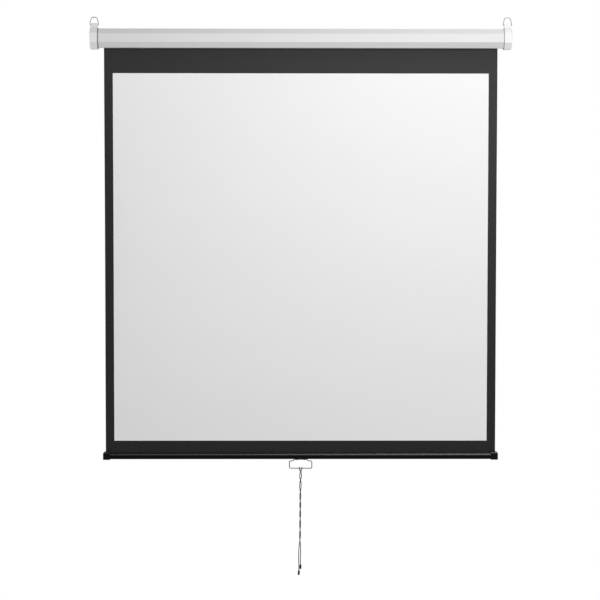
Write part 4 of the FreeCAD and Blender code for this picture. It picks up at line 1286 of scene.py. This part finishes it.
@dataclass
class Screen:
    """The hanging cloth with its black border, and the turns that stay on the roller."""

    joints: Sequence[dict[str, Any]]
    hem: Object
    border: float = 0.0333
    top_border: float = 0.0945
    bottom_border: float = 0.0476
    curl: float = 0.005
    curl_width: float = 0.11
    curl_power: float = 2.2
    right_curl_share: float = 0.35
    free_from: float = 0.45
    held_at: float = 0.9
    held_over: float = 0.3
    ripple: float = 0.0012
    ripple_across: float = 5.1
    ripple_start: float = 0.7
    ripple_down: float = 7.0
    ripple_slant: float = 1.3
    columns: int = 64
    rows: int = 72
    turns: int = 2
    turn_points: int = 48
    layer_share: float = 0.98
    sharp_degrees: float = 40.0

    def build(self) -> None:
        """Builds the hanging cloth and the wound turns."""
        wound = self.build_wound()
        self.build_cloth()

    def leaves_plane(self, x: float, z: float, half: float, top: float, bottom: float) -> float:
        """How far back the cloth hangs from its plane.

        Args:
            x: Place across.
            z: Height.
            half: Half the cloth's width.
            top: Height at which the cloth leaves the case.
            bottom: Height at which the bar holds it.

        Returns:
            Distance to the back.
        """
        fall = (top - z) / (top - bottom)
        free = ease(fall / self.free_from) * ease((self.held_at - fall) / self.held_over)
        edge = max(0.0, (abs(x) - half + self.curl_width) / self.curl_width)
        side = 1.0 if x < 0 else self.right_curl_share
        wave = (math.sin(self.ripple_across * x / half + self.ripple_start)
                * math.sin(self.ripple_down * fall + self.ripple_slant * x / half))
        return free * (self.curl * side * edge ** self.curl_power + self.ripple * wave)

    def stops(self, marks: Sequence[float], count: int) -> list[float]:
        """Even stops along a line that also stand on its marks.

        Args:
            marks: Ends and edges that need a stop.
            count: Number of stretches wanted over the whole line.

        Returns:
            The stops in order.
        """
        whole = marks[-1] - marks[0]
        stops = [marks[0]]
        for start, end in zip(marks, marks[1:]):
            parts = max(2, round(count * (end - start) / whole))
            stops.extend(start + (end - start) * step / parts for step in range(1, parts + 1))
        return stops

    def cloth_mesh(self, low: Vector, high: Vector) -> Mesh:
        """The hanging cloth as a closed thin sheet, with finish 0 inside its border, 1 on it and 2 behind.

        Args:
            low: Lowest corner of the fabric's box.
            high: Highest corner of the fabric's box.

        Returns:
            The mesh.
        """
        mask_low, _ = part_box("black_mask")
        case_low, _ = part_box("case_shell")
        _, bar_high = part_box("bottom_bar")
        half = high.x
        picture_top = case_low.z - self.top_border
        picture_bottom = bar_high.z + self.bottom_border
        across = self.stops([-half, self.border - half, half - self.border, half], self.columns)
        up = self.stops([low.z, bar_high.z, picture_bottom, picture_top, case_low.z, high.z], self.rows)
        shape = bmesh.new()
        uv = shape.loops.layers.uv.new(SURFACE_UV)
        layers = []
        for plane in (mask_low.y, high.y):
            layer = []
            for z in up:
                back = [plane + self.leaves_plane(x, z, half, case_low.z, bar_high.z) for x in across]
                layer.append([shape.verts.new((x, y, z)) for x, y in zip(across, back)])
            layers.append(layer)
        front, rear = layers

        def add_face(corners: Iterable[bmesh.types.BMVert], number: int) -> None:
            """Adds one face with its place on the flat cloth.

            Args:
                corners: Its corners in order.
                number: Its finish's number.
            """
            face = shape.faces.new(corners)
            face.material_index = number
            face.smooth = True
            for loop in face.loops:
                loop[uv].uv = (loop.vert.co.x, loop.vert.co.z)

        for row in range(len(up) - 1):
            for column in range(len(across) - 1):
                x = (across[column] + across[column + 1]) / 2
                z = (up[row] + up[row + 1]) / 2
                white = abs(x) < half - self.border and picture_bottom < z < picture_top
                add_face((front[row][column], front[row][column + 1], front[row + 1][column + 1],
                          front[row + 1][column]), 0 if white else 1)
                add_face((rear[row][column], rear[row + 1][column], rear[row + 1][column + 1],
                          rear[row][column + 1]), 2)
            add_face((front[row][0], front[row + 1][0], rear[row + 1][0], rear[row][0]), 1)
            add_face((front[row][-1], rear[row][-1], rear[row + 1][-1], front[row + 1][-1]), 1)
        for column in range(len(across) - 1):
            add_face((front[0][column], rear[0][column], rear[0][column + 1], front[0][column + 1]), 1)
            add_face((front[-1][column], front[-1][column + 1], rear[-1][column + 1], rear[-1][column]), 1)
        mesh = shaped_mesh("screen_cloth", shape)
        mesh.set_sharp_from_angle(angle=math.radians(self.sharp_degrees))
        return mesh

    def build_cloth(self) -> None:
        """The hanging cloth, white inside its border and black on its back.
        """
        low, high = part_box("screen_fabric")
        cloth = new_piece("screen_cloth", self.cloth_mesh(low, high), Finish.WHITE_CLOTH, Finish.BLACK_BORDER,
                          Finish.BLACK_BACK)
        settle(cloth, "housing", "screen_white", "screen_fabric", "black_mask")
        travel = next(joint for joint in self.joints if joint["name"] == "screen_drop")["range_m"][1]
        1 - travel / (high.z - low.z)
        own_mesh(cloth)

    def build_wound(self) -> Object:
        """The cloth's last turns on the roller, as one spiral.

        Returns:
            The piece.
        """
        low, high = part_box("fabric_wrap")
        tube_low, tube_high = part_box("roller_tube")
        centre = (low.z + high.z) / 2
        inner = (tube_high.z - tube_low.z) / 2
        thickness = (high.y - inner) / self.turns
        steps = self.turns * self.turn_points
        section = []
        for step in reversed(range(steps + 1)):
            angle = FULL_TURN * step / self.turn_points
            radius = inner + thickness * (1 + (self.turns - 1) * step / steps)
            section.append((radius * math.cos(angle), centre + radius * math.sin(angle), 0.0))
        wound = folded_sheet("wound_cloth", section, (low.x, high.x), thickness * self.layer_share,
                             Finish.BLACK_BACK, 1)
        return settle(wound, "roller", "screen_white", "fabric_wrap")


@dataclass
class WeightBar:
    """The bottom bar, its end caps, the hem in its channel and the straps of the handle."""

    nodes: dict[str, Object]
    brow: float = 0.0065
    brow_bend: float = 0.014
    crown: float = 0.004
    crown_bend: float = 0.006
    foot: float = 0.0025
    wall: float = 0.0015
    slot: float = 0.002
    lip_bend: float = 0.000375
    throat: float = 0.0033
    bend_steps: int = 12
    cloth: float = 0.0004
    layer_share: float = 0.95
    seam: float = 0.0001
    hem_steps: int = 40
    cap_edge: float = 0.0007
    cap_shoulder: float = 0.0085
    shoulder_steps: int = 7
    strap_edge: float = 0.0002
    strap_wall: float = 0.001
    strap_middle: float = 0.016
    screw_across: float = 0.0066
    screw_seed: int = 8
    screw: PanScrew = PanScrew(0.0046, 0.0016, 0.0025, 0.005)

    def build(self) -> Object:
        """Builds all pieces that ride with the bar.

        Returns:
            The cloth's hem.
        """
        self.build_bar()
        hem = self.build_hem()
        for side in Side:
            self.build_cap(side)
        straps = softened(self.nodes["handle_straps"], "handle_saddles", self.strap_edge, Finish.STRAP_PLATE)
        settle(straps, "bar", "black_strap", "handle_straps")
        self.build_screws()
        return hem

    def build_cap(self, side: Side) -> None:
        """One moulded end cap of the bar.

        Args:
            side: The cap's end.
        """
        node = f"{side.value}_bar_end_cap"
        low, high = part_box(node)
        cap = softened(self.nodes[node], f"{side.value}_bar_cap", self.cap_edge, Finish.BLACK_MOULDING)
        if side is Side.RIGHT:
            self.round_shoulder(cap, 1.0, high.x, high.z)
        else:
            self.round_shoulder(cap, -1.0, -low.x, high.z)
        settle(cap, "bar", "black_plastic", node)

    def round_shoulder(self, cap: Object, way: float, outer: float, top: float) -> None:
        """Rounds the upper outer corner of a bar cap.

        Args:
            cap: The cap.
            way: 1 where the cap's outer face looks to the right, -1 where it looks to the left.
            outer: Distance of its outer face from the middle.
            top: Height of its top.
        """
        reach = self.cap_shoulder
        shape = bmesh.new()
        shape.from_mesh(cap.data)
        for step in range(self.shoulder_steps):
            inset = reach * (1 - step / self.shoulder_steps)
            upright = ((way * (outer - inset), 0, 0), (1, 0, 0))
            level = ((0, 0, top - inset), (0, 0, 1))
            for place, normal in (upright, level):
                everything = shape.verts[:] + shape.edges[:] + shape.faces[:]
                bmesh.ops.bisect_plane(shape, geom=everything, plane_co=place, plane_no=normal)
        for vertex in shape.verts:
            out = (way * vertex.co.x - outer + reach) / reach
            up = (vertex.co.z - top + reach) / reach
            length = math.hypot(out, up)
            if out > 0 and up > 0 and length > 1:
                vertex.co.x = way * (outer - reach + out / length * reach)
                vertex.co.z = top - reach + up / length * reach
        shape.to_mesh(cap.data)
        shape.free()
        weigh_normals(cap)

    def build_bar(self) -> None:
        """The extruded bar, open along its top where the hem goes in."""
        low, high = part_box("bottom_bar")
        middle = (low.y + high.y) / 2
        half = self.slot / 2
        section = [
            (middle + half, high.z - self.throat, 0.0), (middle + half, high.z, self.lip_bend),
            (high.y - self.crown, high.z, self.crown_bend), (high.y, high.z - self.brow, self.brow_bend),
            (high.y, low.z, self.foot), (low.y, low.z, self.foot),
            (low.y, high.z - self.brow, self.brow_bend), (low.y + self.crown, high.z, self.crown_bend),
            (middle - half, high.z, self.lip_bend), (middle - half, high.z - self.throat, 0.0)]
        bar = folded_sheet("bar_extrusion", section, (low.x, high.x), self.wall, Finish.BLACK_COAT,
                           self.bend_steps)
        settle(bar, "bar", "black_bar", "bottom_bar")

    def build_hem(self) -> Object:
        """The cloth's hem: down the throat, round the rod and up again.

        Returns:
            The piece.
        """
        low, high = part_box("fabric_hem")
        rod_low, rod_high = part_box("hem_rod")
        centre_y = (rod_low.y + rod_high.y) / 2
        centre_z = (rod_low.z + rod_high.z) / 2
        radius = (rod_high.z - rod_low.z) / 2 + self.cloth
        gap = math.asin(self.cloth / radius)
        start = high.z - self.seam
        section = [(centre_y + self.cloth, start, 0.0)]
        for step in reversed(range(self.hem_steps + 1)):
            angle = math.pi / 2 + gap + (FULL_TURN - 2 * gap) * step / self.hem_steps
            section.append((centre_y + radius * math.cos(angle), centre_z + radius * math.sin(angle), 0.0))
        section.append((centre_y - self.cloth, start, 0.0))
        hem = folded_sheet("cloth_hem", section, (low.x, high.x), self.cloth * self.layer_share,
                           Finish.BLACK_BACK, 1)
        return settle(hem, "bar", "screen_white", "fabric_hem")

    def build_screws(self) -> None:
        """The screws that hold the straps under the bar."""
        low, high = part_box("bottom_bar")
        middle = (low.y + high.y) / 2
        seats = [(Vector((x, y, low.z - self.strap_wall)), Vector((0, 0, -1)))
                 for x in (-self.strap_middle, self.strap_middle)
                 for y in (middle - self.screw_across, middle + self.screw_across)]
        screws = screw_set("saddle_screws", self.screw, seats, Finish.ZINC, self.screw_seed)
        settle(screws, "bar", "zinc_screws", "strap_screws")


@dataclass
class PullHandle:
    """The handle of bent wire under the bar."""

    wire: float = 0.0035
    half: Corners = (
        (0.00005, 0.0, 0.0), (0.0230, 0.0, 0.0040), (0.0310, -0.0060, 0.0040), (0.0432, -0.0060, 0.0060),
        (0.0432, -0.0345, 0.0060))

    def build(self) -> Vector:
        """Builds the handle.

        Returns:
            The middle of its lower wire.
        """
        low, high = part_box("pull_handle")
        back = (low.y + high.y) / 2
        lower = low.z + self.wire / 2
        pivot = lower - self.half[-1][1]
        handle = mirrored_wire("handle_wire", (0.0, back, pivot), self.half, self.wire / 2, Finish.STEEL_WIRE)
        settle(handle, "handle", "steel_wire", "pull_handle")
        return Vector((0, back, lower))


# Cord routes from the middle of the handle's lower wire, given as right, back and up.
HITCH_SIDE = [
    (0.0, -0.00355, -0.00655), (-0.005, -0.00355, -0.00655), (-0.005, -0.00355, 0.00355),
    (-0.005, 0.00355, 0.00355), (-0.005, 0.00355, -0.00355), (-0.0019, 0.0006, -0.009)]
SHORT_STRAND = [
    (-0.0019, 0.0006, -0.0120), (-0.0019, 0.0006, -0.0200), (-0.0043, 0.0003, -0.0322),
    (-0.0003, -0.0027, -0.0444), (0.0020, -0.0004, -0.0576), (0.0019, 0.0020, -0.0779),
    (-0.0018, 0.0025, -0.0961), (-0.0036, -0.0002, -0.1114), (-0.0012, -0.0025, -0.1266),
    (0.0012, 0.0002, -0.1428), (-0.0013, 0.0025, -0.1601), (-0.0040, 0.0000, -0.1773),
    (-0.0015, -0.0025, -0.1966), (0.0008, 0.0002, -0.2180), (-0.0020, 0.0025, -0.2393),
    (-0.0045, 0.0000, -0.2596), (-0.0022, -0.0025, -0.2799), (-0.0001, -0.0008, -0.3022),
    (0.0003, 0.0004, -0.3266), (-0.0008, 0.0000, -0.3520), (-0.0005, 0.0000, -0.3743)]
LONG_STRAND = [
    (0.0019, 0.0006, -0.0120), (0.0019, 0.0006, -0.0200), (0.0041, 0.0006, -0.0322),
    (0.0000, 0.0030, -0.0444), (-0.0033, 0.0006, -0.0576), (-0.0036, -0.0018, -0.0779),
    (0.0001, -0.0024, -0.0961), (0.0014, 0.0004, -0.1114), (-0.0015, 0.0025, -0.1266),
    (-0.0037, -0.0002, -0.1428), (-0.0011, -0.0025, -0.1601), (0.0010, 0.0002, -0.1773),
    (-0.0017, 0.0025, -0.1966), (-0.0042, 0.0000, -0.2180), (-0.0019, -0.0025, -0.2393),
    (0.0005, 0.0002, -0.2596), (-0.0025, 0.0025, -0.2799), (-0.0058, 0.0008, -0.3022),
    (-0.0072, -0.0006, -0.3266), (-0.0071, 0.0002, -0.3509), (-0.0067, 0.0000, -0.3753),
    (-0.0066, 0.0000, -0.3976)]


@dataclass
class PullCord:
    """The doubled cord: half a hitch and one strand on each side, each with a stopper knot."""

    wire: Vector
    diameter: float = 0.0032
    short_length: float = 0.405
    long_length: float = 0.428
    knot_radius: float = 0.0024
    knot_wrap: float = 0.0019
    knot_length: float = 0.0175
    knot_turns: float = 4.5
    knot_tail: float = 0.0010
    knot_overlap: float = 0.001
    knot_swell: float = 0.08
    turn_points: int = 12
    knot_steps: int = 4

    def build(self) -> None:
        """Builds both strands and their knots."""
        mirrored = [(-right, back, up) for right, back, up in HITCH_SIDE]
        self.build_strand(Strand.SHORT, HITCH_SIDE + SHORT_STRAND, self.short_length, "cord_hitch")
        self.build_strand(Strand.LONG, mirrored + LONG_STRAND, self.long_length)

    def build_strand(self, strand: Strand, route: Corners, length: float, *more: str) -> None:
        """One half of the cord from the middle of the hitch down to its knot.

        Args:
            strand: Which half it is.
            route: Its control points.
            length: Its real length.
            more: Further nodes that it stands for.
        """
        name = strand.value
        points = spline_points([self.wire + Vector(point) for point in route])
        cord = cord_tube(f"{name}_cord", points, self.diameter / 2, Finish.CORD)
        settle(cord, "cord", "black_cord", f"cord_{name}_strand", *more)
        knot = self.build_knot(strand, points[-1])

    def build_knot(self, strand: Strand, top: Vector) -> Object:
        """A stopper knot: wraps drawn tight round the strand's end and a short tail.

        Args:
            strand: The half of the cord that it ends.
            top: The end of the strand.

        Returns:
            The piece.
        """
        wrap = self.knot_wrap
        first = top.z - wrap
        last = top.z - self.knot_length + wrap
        steps = round(self.turn_points * self.knot_turns)
        route = [top + Vector((0, 0, self.knot_overlap)), top - Vector((0, 0, wrap / 2))]
        for step in range(steps + 1):
            share = step / steps
            angle = FULL_TURN * self.knot_turns * share
            swell = self.knot_radius * (1 - self.knot_swell + self.knot_swell * math.sin(math.pi * share))
            route.append(Vector((top.x + swell * math.cos(angle), top.y + swell * math.sin(angle),
                                 first + (last - first) * share)))
        route.append(top - Vector((0, 0, self.knot_length - wrap / 2)))
        route.append(top - Vector((0, 0, self.knot_length + self.knot_tail)))
        knot = cord_tube(f"{strand.value}_knot", spline_points(route, self.knot_steps), wrap, Finish.CORD)
        return settle(knot, "cord", "black_cord", f"{strand.value}_cord_knot")


class HiddenWorks:
    """Finishes of the works inside the case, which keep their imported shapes."""

    NODES: dict[Finish, Sequence[str]] = {
        Finish.ROLLER: ("roller_tube",),
        Finish.NYLON: ("left_roller_plug", "right_roller_plug", "left_bearing_bush", "spring_collar",
                       "spring_anchor"),
        Finish.STEEL: ("idle_pin", "pawl_pins", "upper_pawl", "lower_pawl", "lock_wheel", "spring_spindle",
                       "spindle_clip", "hem_rod"),
        Finish.SPRING: ("torsion_spring",)}

    def dress(self, nodes: dict[str, Object]) -> None:
        """Gives each inner node its finish.

        Args:
            nodes: The frame's nodes by name.
        """
        for finish, names in self.NODES.items():
            for name in names:
                materials = nodes[name].data.materials
                materials.clear()
                materials.append(material_of(finish))
                LOG.info("%s keeps its shape, finish %s", name, finish.name)


@dataclass(frozen=True)
class Lamp:
    """A soft rectangular lamp."""

    name: str
    place: Triple
    aim: Triple
    width: float
    height: float
    power: float

    def build(self) -> None:
        """Hangs the lamp."""
        data = bpy.data.lights.new(self.name, "AREA")
        data.shape = "RECTANGLE"
        data.size = self.width
        data.size_y = self.height
        data.energy = self.power
        lamp = bpy.data.objects.new(self.name, data)
        lamp.location = self.place
        lamp.visible_camera = False
        lamp.rotation_euler = (Vector(self.aim) - Vector(self.place)).to_track_quat("-Z", "Y").to_euler()
        bpy.context.scene.collection.objects.link(lamp)


@dataclass
class Studio:
    """Camera, lamps, white surroundings and a pale floor."""

    camera_place: Triple = (-0.0691, -7.0, -0.7098)
    pitch: float = 2.969
    yaw: float = 0.541
    roll: float = 0.042
    focal_pixels: float = 1830.5
    floor_drop: float = 0.5
    floor_side: float = 60.0
    floor_greys: tuple[float, float] = (0.78, 0.82)
    floor_spots: Triple = (3.0, 3.0, 3.0)
    floor_roughness: float = 0.9
    floor_light: float = 0.5
    floor_glow: float = 0.3
    shadow_reach: float = 1.7
    shadow_fade_share: float = 0.5
    ambient: float = 0.32
    room: float = 0.045
    backdrop_from: float = 0.35
    backdrop_to: float = 0.85
    lamps: Sequence[Lamp] = (
        Lamp("key_lamp", (1.4, -2.3, 0.05), (0.9, 0.0, -0.5), 1.5, 1.2, 18.0),
        Lamp("middle_lamp", (0.25, -2.3, 0.05), (0.2, 0.0, -0.5), 0.9, 1.2, 9.0),
        Lamp("fill_lamp", (-0.85, -2.3, 0.05), (-0.6, 0.0, -0.5), 1.4, 1.2, 6.0),
        Lamp("top_lamp", (1.2, -1.2, 1.6), (0.4, 0.0, -0.2), 1.4, 1.0, 21.0))

    def build(self) -> None:
        """Sets up the whole studio."""
        scene = bpy.context.scene
        scene.view_settings.view_transform = "Standard"
        self.build_camera(scene)
        self.build_world(scene)
        self.build_floor()
        for lamp in self.lamps:
            lamp.build()

    def build_camera(self, scene: bpy.types.Scene) -> None:
        """The camera at the photograph's place.

        Args:
            scene: The scene that it films.
        """
        data = bpy.data.cameras.new("camera")
        data.sensor_fit = "HORIZONTAL"
        data.angle = 2 * math.atan(IMAGE_SIDE / 2 / self.focal_pixels)
        camera = bpy.data.objects.new("camera", data)
        camera.location = self.camera_place
        turn = Matrix.Rotation(math.radians(-self.yaw), 3, "Z")
        tip = Matrix.Rotation(math.radians(90 - self.pitch), 3, "X")
        roll = Matrix.Rotation(math.radians(self.roll), 3, "Z")
        camera.rotation_euler = (turn @ tip @ roll).to_euler()
        scene.collection.objects.link(camera)
        scene.camera = camera

    def build_world(self, scene: bpy.types.Scene) -> None:
        """A white surround for the eye, an even light, and for gloss a dim room before a white backdrop.

        Args:
            scene: The scene that it surrounds.
        """
        world = bpy.data.worlds.new("surround")
        world.use_nodes = True
        tree = NodeTree(world.node_tree)
        tree.tree.nodes.clear()
        depth = tree.part_of(tree.node("ShaderNodeTexCoord", output="Generated"), "Y")
        room = tree.smooth_range(depth, {"From Min": self.backdrop_from, "From Max": self.backdrop_to,
                                         "To Min": self.room, "To Max": 1.0})
        eye = tree.node("ShaderNodeLightPath", output="Is Camera Ray")
        shiny = tree.math("MAXIMUM", tree.also(eye, "Is Glossy Ray"), tree.also(eye, "Is Transmission Ray"))
        strength = self.ambient + eye * (1 - self.ambient) + shiny * (room - self.ambient)
        sky = tree.node("ShaderNodeBackground", None, {"Color": grey(1.0), "Strength": strength})
        output = tree.tree.nodes.new("ShaderNodeOutputWorld")
        tree.feed(output.inputs["Surface"], sky)
        scene.world = world

    def build_floor(self) -> None:
        """A plain pale floor under the hanging object."""
        low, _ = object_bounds()
        mesh = bpy.data.meshes.new("floor")
        half = self.floor_side / 2
        height = low.z - self.floor_drop
        mesh.from_pydata([(-half, -half, height), (half, -half, height), (half, half, height),
                          (-half, half, height)], [], [(0, 1, 2, 3)])
        mesh.materials.append(self.floor_material())
        floor = bpy.data.objects.new("floor", mesh)
        floor.visible_glossy = False
        bpy.context.scene.collection.objects.link(floor)
        floor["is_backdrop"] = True

    def floor_material(self) -> Material:
        """A pale paint that keeps the object's shadow near by and turns white to the eye further out.

        Returns:
            The material.
        """
        tree = ShaderTree("pale_floor")
        place = tree.place()
        mottle = tree.noise(place, self.floor_spots)
        first, second = self.floor_greys
        tree.finished({"Base Color": tree.mix(mottle, grey(first), grey(second)),
                       "Roughness": self.floor_roughness})
        level = tree.node("ShaderNodeVectorMath", {"operation": "MULTIPLY"}, {0: place, 1: (1.0, 1.0, 0.0)})
        away = tree.node("ShaderNodeVectorMath", {"operation": "LENGTH"}, {0: level}, "Value")
        far = tree.smooth_range(away, {"From Min": self.shadow_reach * self.shadow_fade_share,
                                       "From Max": self.shadow_reach})
        eye = tree.node("ShaderNodeLightPath", output="Is Camera Ray")
        lift = tree.node("ShaderNodeEmission", None, {
            "Color": grey(1.0), "Strength": eye * (1 - self.floor_light) + (1 - eye) * self.floor_glow})
        near = tree.node("ShaderNodeAddShader", None, {0: Channel(tree, tree.shader.outputs[0]), 1: lift})
        white = tree.node("ShaderNodeEmission", None, {"Color": grey(1.0), "Strength": 1.0})
        both = tree.node("ShaderNodeMixShader", None, {0: eye * far, 1: near, 2: white})
        tree.feed(tree.output.inputs["Surface"], both)
        return tree.material


def main() -> None:
    """Builds the dressed screen and its studio."""
    logging.basicConfig(level=logging.INFO, format="%(name)s: %(message)s")
    for thing in list(bpy.data.objects):
        bpy.data.objects.remove(thing)
    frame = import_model()
    nodes = frame["nodes"]
    Housing(nodes).build()
    hem = WeightBar(nodes).build()
    Screen(frame["joints"], hem).build()
    lower_wire = PullHandle().build()
    PullCord(lower_wire).build()
    HiddenWorks().dress(nodes)
    Studio().build()


if __name__ == "__main__":
    main()
